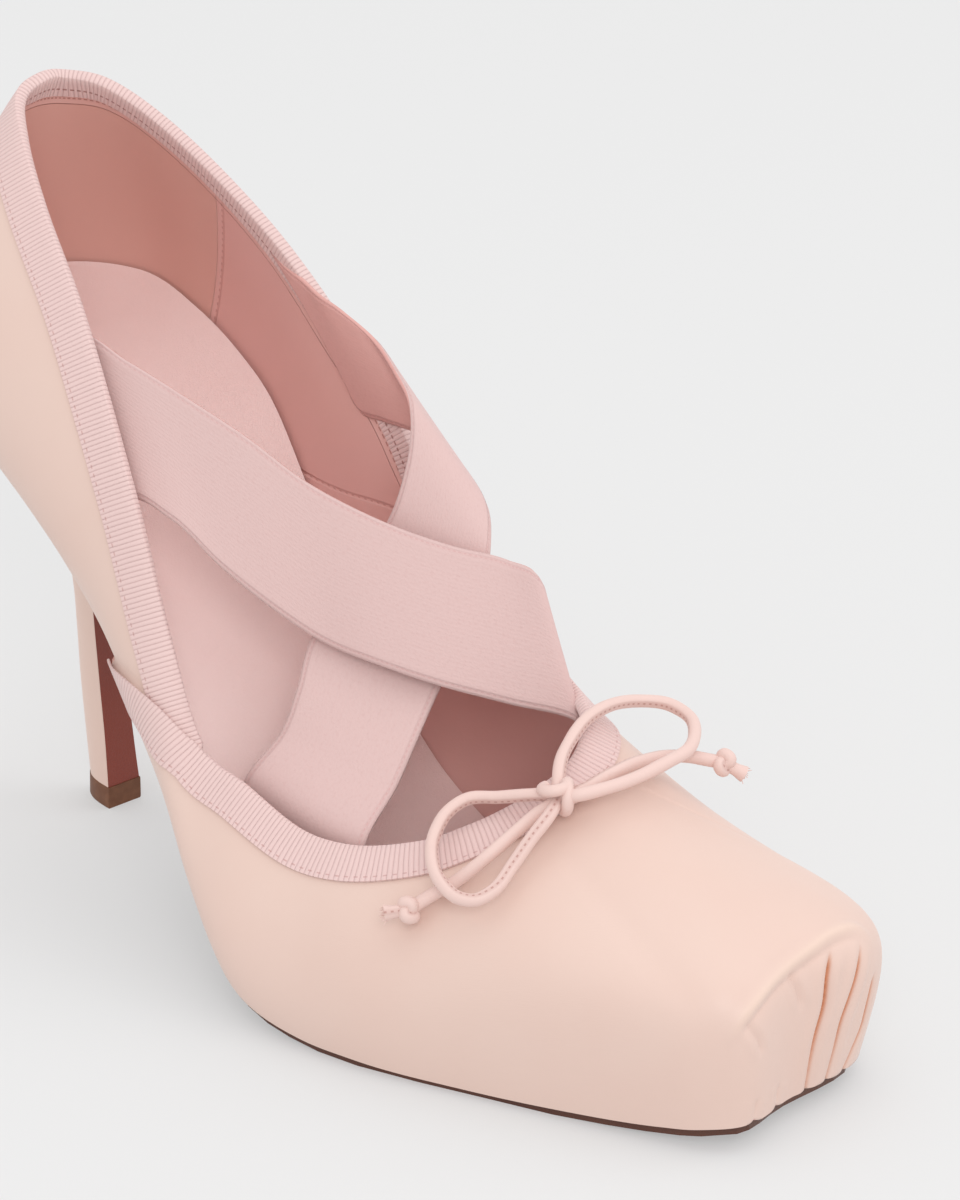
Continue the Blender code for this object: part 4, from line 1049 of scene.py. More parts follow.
class Finishes:
    """Every material of the shoe, by what it dresses."""

    def __init__(self) -> None:
        """Build the shared groups and the materials from them."""
        effects = Effects()
        self.satin = SatinFinish().build(effects)
        self.heel_satin = SatinFinish(
            name="heel_satin", colour=(0.760, 0.560, 0.480), patch=(0.730, 0.510, 0.430), roughness=0.44
        ).build(effects)
        self.grosgrain = GrosgrainFinish().build(effects)
        self.elastic = ElasticFinish().build(effects)
        # Darker, pinker copy of the elastic for the bands' inner faces: painted shade and painted pink bounce
        # light from the lining.
        self.elastic_shaded_inside = ElasticFinish(
            name="elastic_shaded_inside", colour=(0.680, 0.370, 0.335), shade=(0.620, 0.310, 0.275),
            thread=(0.50, 0.22, 0.20),
        ).build(effects)
        self.cord = CordFinish().build(effects)
        self.insole = LeatherFinish(
            Hide.INSOLE, (0.890, 0.680, 0.650), (0.870, 0.650, 0.620), 0.48
        ).build(effects)
        self.lining = LiningFinish().build(effects)
        self.sole = LeatherFinish(
            Hide.SOLE, (0.085, 0.026, 0.014), (0.130, 0.046, 0.022), 0.38, coat=0.2
        ).build(effects)
        self.breast = LeatherFinish(
            Hide.BREAST, (0.265, 0.048, 0.028), (0.225, 0.038, 0.022), 0.42, coat=0.12
        ).build(effects)
        self.rubber = RubberFinish().build(effects)


# ---------------------------------------------------------------- the upper


@dataclass(frozen=True)
class Crease:
    """A line pressed into the satin, or raised from it, through points of the shell.

    Attributes:
        path: turn and rise of the points that the line runs through, from its top down.
        width: how wide the line is to each side, in millimetres.
        height: how high it stands, in millimetres, or how deep it is pressed in where negative.
        swell: how high the satin swells beside it, in millimetres.
        swell_at: how far from the line that swell is highest, in millimetres.
        sharp: whether the line is a sharp fold rather than a round one.
        to_foot: whether it runs on to the foot line, growing shallower.
        shade: how much shade is painted on the satin along it, from 0 to 1, or how much highlight below 0.
    """

    path: tuple[tuple[float, float], ...]
    width: float
    height: float
    swell: float = 0.0
    swell_at: float = 1.6
    sharp: bool = False
    to_foot: bool = False
    shade: float = 0.0


@dataclass(frozen=True)
class Notch:
    """A place where the satin's lower edge is drawn up, as turn, height and width in millimetres."""

    turn: float
    height: float
    width: float


# The first line is the rim's raised ridge with a painted highlight, the next the trough under it with a
# little painted shade, the next three pleats are painted with shade, and the rest are only shaped.
TOE_CREASES = (
    Crease(
        ((0.926, 0.19), (0.932, 0.23), (0.942, 0.26), (0.955, 0.28), (0.975, 0.30), (0.998, 0.315),
         (1.022, 0.33), (1.043, 0.34), (1.061, 0.33), (1.069, 0.30), (1.071, 0.25)),
        width=1.25, height=0.70, shade=-0.60,
    ),
    Crease(
        ((0.934, 0.19), (0.941, 0.23), (0.957, 0.258), (0.976, 0.278), (0.998, 0.291), (1.022, 0.306),
         (1.042, 0.316), (1.057, 0.306), (1.062, 0.28)),
        width=0.85, height=-0.45, sharp=True, shade=0.10,
    ),
    Crease(
        ((1.038, 0.32), (1.032, 0.285), (1.028, 0.25), (1.025, 0.19), (1.020, 0.13), (1.017, 0.07),
         (1.015, 0.00)),
        width=0.46, height=-1.15, swell=0.36, swell_at=1.8, sharp=True, to_foot=True, shade=1.0,
    ),
    Crease(
        ((1.062, 0.305), (1.055, 0.26), (1.050, 0.22), (1.044, 0.17), (1.040, 0.13), (1.037, 0.07),
         (1.033, 0.00)),
        width=0.42, height=-1.00, swell=0.34, swell_at=1.7, sharp=True, to_foot=True, shade=1.0,
    ),
    Crease(
        ((1.070, 0.22), (1.068, 0.18), (1.066, 0.14), (1.064, 0.09), (1.058, 0.05), (1.050, 0.00)),
        width=0.62, height=-0.95, swell=0.15, swell_at=1.8, sharp=True, to_foot=True, shade=1.0,
    ),
    Crease(
        ((0.999, 0.305), (1.000, 0.28), (1.003, 0.25), (1.006, 0.20)),
        width=0.70, height=-0.50, swell=0.22, sharp=True,
    ),
    Crease(
        ((0.941, 0.25), (0.947, 0.22), (0.953, 0.19), (0.957, 0.15)),
        width=0.80, height=-0.42, swell=0.18, sharp=True,
    ),
    Crease(((0.982, 0.06), (0.980, 0.00)), width=0.45, height=-0.30, swell=0.10, sharp=True, to_foot=True),
    Crease(((0.952, 0.06), (0.950, 0.00)), width=0.45, height=-0.30, swell=0.10, sharp=True, to_foot=True),
)
TOE_NOTCHES = (
    Notch(0.950, 0.75, 0.8),
    Notch(0.980, 0.70, 0.7),
    Notch(1.015, 0.16, 0.6),
    Notch(1.033, 0.16, 0.6),
    Notch(1.050, 0.16, 0.6),
)


@dataclass
class Upper:
    """Hollow satin upper with its leather lining, the vamp lapped over the quarter."""

    finishes: Finishes
    wall: float = 0.0013
    low_rows: int = 84
    high_rows: int = 36
    low_share: float = 0.40
    inner_rows: int = 24
    creases: tuple[Crease, ...] = TOE_CREASES
    notches: tuple[Notch, ...] = TOE_NOTCHES
    notch_rise: float = 0.035
    foot_loss: float = 0.5
    column_knots: tuple[float, ...] = (0.60, 0.86, 0.91, 1.0)
    column_counts: tuple[int, ...] = (84, 2, 30, 50, 16, 100)
    crease_steps: int = 60
    crease_reach: float = 5.0
    crease_fade: float = 0.25
    swell_spread: float = 0.6
    toe_reach: float = 0.235
    rim_rise: float = 0.1
    cloth_row: int = 30

    def columns(self, rise: float) -> np.ndarray:
        """Turns of the columns at this rise; two columns follow the vamp's edge on each side."""
        halves = []
        for medial in (False, True):
            seam = float(LAST.lap_turn(np.array(rise), np.array(medial)))
            knots = (0.0, seam, seam + LAST.seam_step, *self.column_knots)
            half = [0.0]
            for start, end, count in zip(knots, knots[1:], self.column_counts):
                half.extend(np.linspace(start, end, count + 1)[1:])
            halves.append(np.array(half))
        lateral, medial_half = halves
        return np.concatenate([lateral, 2 - medial_half[-2:0:-1]])

    def relief(self, base: np.ndarray) -> tuple[np.ndarray, np.ndarray]:
        """How far creases lift the satin off these points of the shell, and how much shade, or highlight
        below 0, is painted along them.
        """
        lift, shade = np.zeros(base.shape[:-1]), np.zeros(base.shape[:-1])
        for crease in self.creases:
            knots = np.array(crease.path)
            marks = np.linspace(0, len(knots) - 1, self.crease_steps)
            route = smooth_curve(np.arange(len(knots)), knots, marks)
            line = LAST.shell(route[:, 0], route[:, 1])
            reach = self.crease_reach * MM
            low, high = line.min(0) - reach, line.max(0) + reach
            near = ((base > low) & (base < high)).all(-1)
            spots = base[near]
            starts, spans = line[:-1], np.diff(line, axis=0)
            share = ((spots[:, None] - starts) * spans).sum(-1) / (spans**2).sum(-1)
            share = np.clip(share, 0, 1)
            gaps = np.linalg.norm(spots[:, None] - starts - share[..., None] * spans, axis=-1)
            closest = gaps.argmin(1)
            away = gaps.min(1) / MM
            along = (closest + share[np.arange(len(spots)), closest]) / len(starts)
            ends = ease(along / self.crease_fade)
            if crease.to_foot:
                ends = ends * (1 - self.foot_loss * ease((along - 0.5) / 0.5))
            else:
                ends = ends * ease((1 - along) / self.crease_fade)
            ratio = away / crease.width
            line_form = np.exp(-ratio) if crease.sharp else np.exp(-(ratio**2))
            spread = self.swell_spread * crease.swell_at
            swell_form = np.exp(-(((away - crease.swell_at) / spread) ** 2))
            lift[near] += (crease.height * line_form + crease.swell * swell_form) * ends * MM
            # painted shade along the crease, or painted highlight where its shade is below 0
            tone = crease.shade * np.exp(-(ratio**2)) * ends
            shade[near] = np.where(np.abs(tone) > np.abs(shade[near]), tone, shade[near])
        return lift, shade

    def draw_up(self, turn: np.ndarray, rise: np.ndarray) -> np.ndarray:
        """How far the notches draw the satin's lower edge up."""
        height = np.zeros(turn.shape)
        for notch in self.notches:
            away = np.abs(turn - notch.turn) * self.toe_reach / (notch.width * MM)
            height = np.maximum(height, notch.height * MM * np.exp(-away))
        return height * ease(1 - rise / self.notch_rise)

    def build(self) -> bpy.types.Object:
        """Make the upper as one closed wall."""
        low = np.linspace(0, self.low_share, self.low_rows + 1)
        outer_rises = np.concatenate([low, np.linspace(self.low_share, 1, self.high_rows + 1)[1:]])
        count = len(outer_rises)
        turn = np.array([self.columns(rise) for rise in outer_rises])
        rise = np.broadcast_to(outer_rises[:, None], turn.shape)
        base, normal = LAST.shell(turn, rise), LAST.normal(turn, rise)
        half, medial = LAST.half_turn(turn)
        past_seam = half > LAST.lap_turn(rise, medial) + LAST.seam_step / 4
        step = np.where(past_seam, LAST.vamp_lift(turn, rise), 0)
        lift, shade = self.relief(base)
        outer = base + normal * (step + lift)[..., None]
        outer[0, :, 2] = LAST.foot_height(outer[0, :, 1], outer[0, :, 0])
        outer[..., 2] += self.draw_up(turn, rise)
        inner_rows = np.linspace(count - 1, 0, self.inner_rows).astype(int)
        inner = (base - normal * self.wall)[inner_rows]
        rim = (outer[-1] + inner[0]) / 2 + (outer[-1] - outer[-2]) * self.rim_rise
        inner[-1, :, 2] = LAST.foot_height(inner[-1, :, 1], inner[-1, :, 0])
        rows = np.concatenate([outer, rim[None], inner])
        rings = np.swapaxes(rows, 0, 1)
        lining = np.zeros(rows.shape[0], int)
        lining[count:] = 1
        steps = np.linalg.norm(np.diff(inner, axis=0), axis=-1)
        below = np.concatenate([np.zeros((count + 2, turn.shape[1])), steps.cumsum(0)])
        order = np.concatenate([np.arange(count), [count - 1], inner_rows])
        blank = np.zeros((1 + len(inner_rows), turn.shape[1]))
        marks = {
            "half_turn": half[order].T,
            "rise": rise[order].T,
            "below_edge": below.T,
            # painted shade and highlight of the creases, for the satin's colour
            "crease": np.concatenate([shade, blank]).T,
        }
        middle = LAST.shell(np.append(turn[self.cloth_row], 2.0), 0.5)
        piece = loft(
            "upper_satin", rings, [self.finishes.satin, self.finishes.lining], lining, closed=True,
            lengths=path_lengths(middle), sharp=75, marks=marks,
        )
        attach(piece, "root")
        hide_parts("upper")
        return piece


# ---------------------------------------------------------------- ribbon bindings


@dataclass
class Bindings:
    """Grosgrain folded over the quarter's topline and along the vamp's edge.

    Sizes are metres; ends, margins, spans and folds are turns or rises of the shell.
    """

    finishes: Finishes
    width: float = 0.0062
    thickness: float = 0.00045
    stand: float = 0.0004
    gap: float = 0.00010
    wall: float = 0.0013
    steps: int = 6
    inner_leg: float = 0.0040
    foot_margin: float = 0.012
    lap_margin: float = -0.006
    tangent_passes: int = 280
    walk_nudge: float = 0.002
    walk_passes: int = 5
    fold_angles: tuple[float, float] = (12, 168)
    fold_points: int = 9
    fold_height: float = 0.9
    flat_crown: float = 0.00012
    quarter_end: float = 0.468
    quarter_fold: float = 0.006
    vamp_fold_from: float = 0.468
    vamp_fold: float = 0.018
    edge_start: float = 0.470
    edge_stations: int = 150
    lap_span: tuple[float, float] = (0.015, 0.95)
    lap_stations: int = 54
    opening: float = 0.995

    def toward(self, turn: np.ndarray, rise: np.ndarray, target: np.ndarray) -> tuple[np.ndarray, np.ndarray]:
        """Turns and rises of the shell's points nearest to the targets, starting from a guess."""
        nudge = self.walk_nudge
        for _ in range(self.walk_passes):
            here = LAST.shell(turn, rise)
            by_turn = (LAST.shell(turn + nudge, rise) - LAST.shell(turn - nudge, rise)) / (2 * nudge)
            low, high = np.maximum(rise - nudge, 0), np.minimum(rise + nudge, 1)
            by_rise = (LAST.shell(turn, high) - LAST.shell(turn, low)) / (high - low)[:, None]
            step = target - here
            aa, ab, bb = (by_turn**2).sum(1), (by_turn * by_rise).sum(1), (by_rise**2).sum(1)
            sa, sb = (step * by_turn).sum(1), (step * by_rise).sum(1)
            size = aa * bb - ab * ab
            turn = turn + (bb * sa - ab * sb) / size
            rise = np.clip(rise + (aa * sb - ab * sa) / size, self.foot_margin, 1)
        return turn, rise

    def lines(
        self, turns: np.ndarray, rises: np.ndarray, width: float, behind_lap: bool
    ) -> list[tuple[np.ndarray, np.ndarray]]:
        """Turns and rises of lines walked over the skin from a path, square to it, toward the foot line."""
        tangent = unit(np.gradient(LAST.shell(turns, rises), axis=0))
        for _ in range(self.tangent_passes):
            padded = np.concatenate([tangent[:1], tangent, tangent[-1:]])
            tangent = unit(padded[:-2] + 2 * tangent + padded[2:])
        found = [(turns, rises)]
        turn, rise = turns.copy(), rises.copy()
        for _ in range(self.steps):
            down = unit(np.cross(tangent, LAST.normal(turn, rise)))
            turn, rise = self.toward(turn, rise, LAST.shell(turn, rise) + down * width / self.steps)
            if behind_lap:
                half, medial = LAST.half_turn(turn)
                half = np.minimum(half, LAST.lap_turn(rise, medial) - self.lap_margin)
                turn = np.where(medial, 2 - half, half)
            found.append((turn, rise))
        return found

    def ribbon(
        self, name: str, turns: np.ndarray, rises: np.ndarray, cap: np.ndarray, behind_lap: bool, node: str
    ) -> bpy.types.Object:
        """Make one ribbon folded over an edge where cap is 1, and lying flat where it is 0.

        Args:
            name: the piece's name.
            turns: turn of each station along the edge.
            rises: rise of each station.
            cap: how far the ribbon folds over the edge at each station.
            behind_lap: whether it ends just under the vamp's edge.
            node: the CAD node that it stands for.

        Returns:
            The ribbon.
        """
        lapped = not behind_lap
        found = self.lines(turns, rises, self.width, behind_lap)
        top_turn, top_rise = found[0]
        edge = LAST.skin(top_turn, top_rise, 0.0, lapped)
        normal = LAST.normal(top_turn, top_rise)
        over = unit(np.cross(normal, unit(np.gradient(edge, axis=0))))
        thick = self.gap + self.thickness
        cap = cap[:, None]
        lift = LAST.vamp_lift(top_turn, top_rise)[:, None] if lapped else 0.0
        inside = self.wall + lift
        ring = [LAST.skin(turn, rise, thick, lapped) for turn, rise in reversed(found[1:])]
        half_depth = (inside + 2 * thick) / 2
        for swing in np.radians(np.linspace(*self.fold_angles, self.fold_points)):
            out = thick - half_depth + half_depth * math.cos(swing)
            up = self.stand + thick * self.fold_height * math.sin(swing)
            flat_out = self.gap + self.thickness * (0.5 + 0.5 * math.cos(swing))
            flat_up = self.flat_crown * math.sin(swing)
            out, up = flat_out * (1 - cap) + out * cap, flat_up * (1 - cap) + up * cap
            ring.append(edge + normal * out + over * up)
        inner = [(-inside - thick, -self.inner_leg * share) for share in np.linspace(0.15, 1.0, 4)]
        inner += [(-inside - self.gap * 0.6, -self.inner_leg * share) for share in (1.0, 0.55, 0.15)]
        inner.append((-inside * 0.5, self.gap * 0.5))
        for out, fall in inner:
            flat = edge + normal * self.gap
            folded = edge + normal * out + over * fall
            ring.append(flat * (1 - cap) + folded * cap)
        ring.append(edge + normal * self.gap)
        ring.extend(LAST.skin(turn, rise, self.gap, lapped) for turn, rise in found[1:])
        rings = np.stack(ring, 1)
        piece = loft(name, rings, [self.finishes.grosgrain], lengths=path_lengths(edge), sharp=75)
        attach(piece, "root")
        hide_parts(node)
        return piece

    def build_quarter(self) -> bpy.types.Object:
        """Ribbon round the quarter's topline."""
        half = np.linspace(0, self.quarter_end, self.edge_stations)
        turns = np.concatenate([-half[::-1], half[1:]])
        cap = ease((self.quarter_end - np.abs(turns)) / self.quarter_fold)
        return self.ribbon("quarter_ribbon", turns, np.ones_like(turns), cap, True, "quarter_binding")

    def build_vamp(self) -> bpy.types.Object:
        """Ribbon along the vamp's edge, up the lap on each side and round the throat."""
        lap_rises = np.linspace(*self.lap_span, self.lap_stations)
        lateral = LAST.lap_turn(lap_rises, np.array(False))
        medial = 2 - LAST.lap_turn(lap_rises[::-1], np.array(True))
        edge_half = np.linspace(self.edge_start, 1.0, self.edge_stations)
        turns = np.concatenate([lateral, edge_half, 2 - edge_half[-2::-1], medial])
        rises = np.concatenate([lap_rises, np.ones(2 * len(edge_half) - 1), lap_rises[::-1]])
        half, _ = LAST.half_turn(turns)
        cap = ease((half - self.vamp_fold_from) / self.vamp_fold) * (rises > self.opening)
        return self.ribbon("vamp_ribbon", turns, rises, cap, False, "vamp_binding")

    def build(self) -> list[bpy.types.Object]:
        """Make both ribbons."""
        return [self.build_quarter(), self.build_vamp()]


# ---------------------------------------------------------------- elastic straps


class StrapRow(NamedTuple):
    """One line across a strap: its edges nearer the heel and nearer the toe, in pattern millimetres."""

    back_side: float
    back_along: float
    back_up: float
    front_side: float
    front_along: float
    front_up: float


STRAP_OVER = (
    StrapRow(18.2, 47.0, 103.0, 23.4, 68.5, 77.5),
    StrapRow(16.8, 49.6, 107.6, 22.0, 70.7, 82.2),
    StrapRow(14.5, 60.5, 105.4, 19.0, 79.1, 80.3),
    StrapRow(10.5, 73.6, 100.9, 15.2, 89.0, 72.9),
    StrapRow(6.0, 85.4, 95.7, 11.0, 98.5, 66.8),
    StrapRow(1.0, 96.7, 89.0, 6.5, 107.6, 61.9),
    StrapRow(-6.0, 110.2, 83.7, 2.5, 118.6, 60.0),
    StrapRow(-13.0, 121.1, 80.6, -3.5, 129.8, 57.8),
    StrapRow(-19.5, 129.7, 78.8, -12.0, 139.4, 55.0),
    StrapRow(-22.2, 135.6, 76.2, -20.0, 149.0, 52.4),
    StrapRow(-23.0, 136.6, 68.0, -21.4, 150.2, 47.0),
    StrapRow(-22.6, 134.5, 50.0, -19.8, 147.0, 39.0),
)
STRAP_UNDER = (
    StrapRow(-24.3, 55.0, 116.1, -25.3, 74.7, 98.9),
    StrapRow(-24.2, 59.3, 114.0, -25.6, 77.4, 93.8),
    StrapRow(-24.2, 64.0, 113.0, -25.8, 80.2, 90.0),
    StrapRow(-24.2, 69.5, 111.6, -25.8, 87.5, 90.6),
    StrapRow(-25.0, 75.9, 110.0, -26.0, 98.4, 91.5),
    StrapRow(-25.5, 84.4, 107.0, -26.5, 105.5, 89.6),
    StrapRow(-23.5, 93.0, 103.6, -25.5, 112.6, 87.4),
    StrapRow(-20.5, 100.8, 99.9, -23.5, 119.9, 84.0),
    StrapRow(-17.0, 104.9, 93.1, -20.5, 124.1, 80.4),
    StrapRow(-13.5, 106.4, 86.5, -18.5, 125.9, 77.6),
    StrapRow(-4.0, 105.3, 72.5, -11.0, 128.4, 64.4),
    StrapRow(6.0, 103.6, 60.3, -5.0, 127.5, 55.6),
    StrapRow(11.5, 106.3, 52.9, 2.5, 130.0, 48.7),
    StrapRow(16.0, 107.4, 46.4, 10.0, 133.1, 43.0),
    StrapRow(23.6, 106.0, 38.4, 20.6, 136.3, 35.6),
    StrapRow(25.4, 105.0, 32.0, 21.4, 136.0, 28.0),
)


@dataclass
class Straps:
    """Two bands of elastic that cross over the instep."""

    finishes: Finishes
    thickness: float = 0.0010
    band_width: float = 0.0245
    stations: int = 150
    columns: int = 26
    under_tuck: tuple[float, ...] = (0.9, 0.9, 0.8, 0.3)
    over_anchor: tuple[tuple[float, float], ...] = ((1.392, 0.90), (1.325, 0.90))
    depth: float = 0.0021
    edge_share: float = 0.45
    edge_width: float = 0.0005
    cord_puff: float = 0.00012
    cord_width: float = 0.0004

    def band(
        self,
        name: str,
        rows: Sequence[StrapRow],
        node: str,
        tuck: Sequence[float] = (),
        anchor: Sequence[tuple[float, float]] = (),
    ) -> bpy.types.Object:
        """Make one band from its rows, with rounded edges and a faint dish between its cords.

        Args:
            name: the piece's name.
            rows: the lines across it, in order.
            node: the CAD node that it stands for.
            tuck: how far its first rows are let into the medial wall, in pattern millimetres.
            anchor: turn and rise of the two corners of its last end, sewn inside the wall.

        Returns:
            The band.
        """
        table = np.array(rows)
        table[: len(tuck), [0, 3]] -= np.array(tuck)[:, None] if len(tuck) else 0.0
        table = table * np.tile(LAST.grade, 2)
        if anchor:
            corners = [LAST.skin(np.array(turn), np.array(rise), -self.depth) for turn, rise in anchor]
            table[-1] = np.concatenate(corners)
        middle_line = (table[:, :3] + table[:, 3:]) / 2
        lengths = path_lengths(middle_line)
        edges = smooth_curve(lengths, table, np.linspace(0, lengths[-1], self.stations))
        share = np.linspace(0, 1, self.columns)
        middle = edges[:, None, :3] * (1 - share[None, :, None]) + edges[:, None, 3:] * share[None, :, None]
        normal = unit(np.cross(np.gradient(middle, axis=0), np.gradient(middle, axis=1)))
        normal *= np.sign(normal[..., 2].mean())
        inset = np.minimum(share, 1 - share) * self.band_width
        round_off = np.clip(inset / self.edge_width, 0, 1) ** 0.5
        half = self.thickness / 2 * (self.edge_share + (1 - self.edge_share) * round_off)
        puff = self.cord_puff * np.exp(-(((inset - self.edge_width) / self.cord_width) ** 2))
        lift = normal * (half + puff)[None, :, None]
        top, bottom = middle + lift, middle - lift
        rings = np.concatenate([top, bottom[:, ::-1]], 1)
        across = np.concatenate([share, share[::-1], share[:1]]) * self.band_width
        along = path_lengths(middle[:, self.columns // 2])
        # the inner face wears the copy with painted shade and bounce light
        sides = np.repeat([0, 1], self.columns)
        finishes = [self.finishes.elastic, self.finishes.elastic_shaded_inside]
        piece = loft(name, rings, finishes, sides, lengths=along, widths=across, sharp=80)
        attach(piece, "root")
        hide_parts(node)
        return piece

    def build(self) -> list[bpy.types.Object]:
        """Make both bands."""
        return [
            self.band("elastic_band_over", STRAP_OVER, "elastic_strap_over", anchor=self.over_anchor),
            self.band("elastic_band_under", STRAP_UNDER, "elastic_strap_under", self.under_tuck),
        ]


# ---------------------------------------------------------------- the bow


class Point(NamedTuple):
    """A point in pattern millimetres."""

    side: float
    along: float
    up: float


KNOT = Point(1.1, 167.2, 51.1)
END_KNOT_LATERAL = Point(28.3, 157.3, 33.4)
END_KNOT_MEDIAL = Point(-32.7, 174.9, 50.0)
LOOP_LATERAL = (
    Point(2.8, 163.9, 50.9),
    Point(4.0, 161.9, 50.4),
    Point(6.5, 157.3, 49.0),
    Point(10.4, 152.6, 48.0),
    Point(14.3, 151.9, 46.5),
    Point(18.4, 153.0, 43.8),
    Point(22.3, 156.6, 41.8),
    Point(24.6, 161.7, 39.6),
    Point(24.3, 166.6, 38.2),
    Point(22.6, 169.0, 38.3),
    Point(19.6, 170.2, 39.6),
    Point(14.5, 169.7, 42.8),
    Point(9.8, 169.4, 46.5),
    Point(5.0, 169.2, 49.9),
)
LOOP_MEDIAL = (
    Point(-0.9, 164.8, 53.3),
    Point(-4.0, 162.1, 55.0),
    Point(-8.3, 159.7, 56.4),
    Point(-13.7, 157.7, 58.0),
    Point(-20.1, 156.8, 58.6),
    Point(-27.6, 157.2, 57.5),
    Point(-32.4, 160.3, 56.5),
    Point(-33.0, 165.6, 55.5),
    Point(-29.8, 170.1, 54.6),
    Point(-26.0, 172.6, 54.1),
    Point(-20.0, 173.6, 53.9),
    Point(-13.6, 173.2, 53.0),
    Point(-4.8, 173.0, 53.2),
    Point(0.4, 171.0, 52.7),
)
TAIL_LATERAL = (
    Point(4.8, 165.5, 48.4),
    Point(9.2, 165.0, 46.2),
    Point(15.6, 164.1, 42.7),
    Point(20.7, 161.1, 38.0),
    Point(24.4, 158.6, 35.4),
    Point(26.0, 158.0, 34.6),
)
TAIL_MEDIAL = (
    Point(-3.2, 168.3, 51.4),
    Point(-9.1, 169.0, 52.8),
    Point(-19.0, 168.5, 52.5),
    Point(-25.0, 168.9, 51.5),
    Point(-28.5, 170.9, 51.0),
    Point(-30.6, 172.9, 50.5),
)
NEAR_SEAM = ((0.0, 150.0), (35.0, 145.0), (62.0, 136.0), (82.0, 48.0), (100.0, 48.0))
FAR_SEAM = ((0.0, 50.0), (33.0, 68.0), (55.0, 48.0), (77.0, 30.0), (116.0, 30.0))


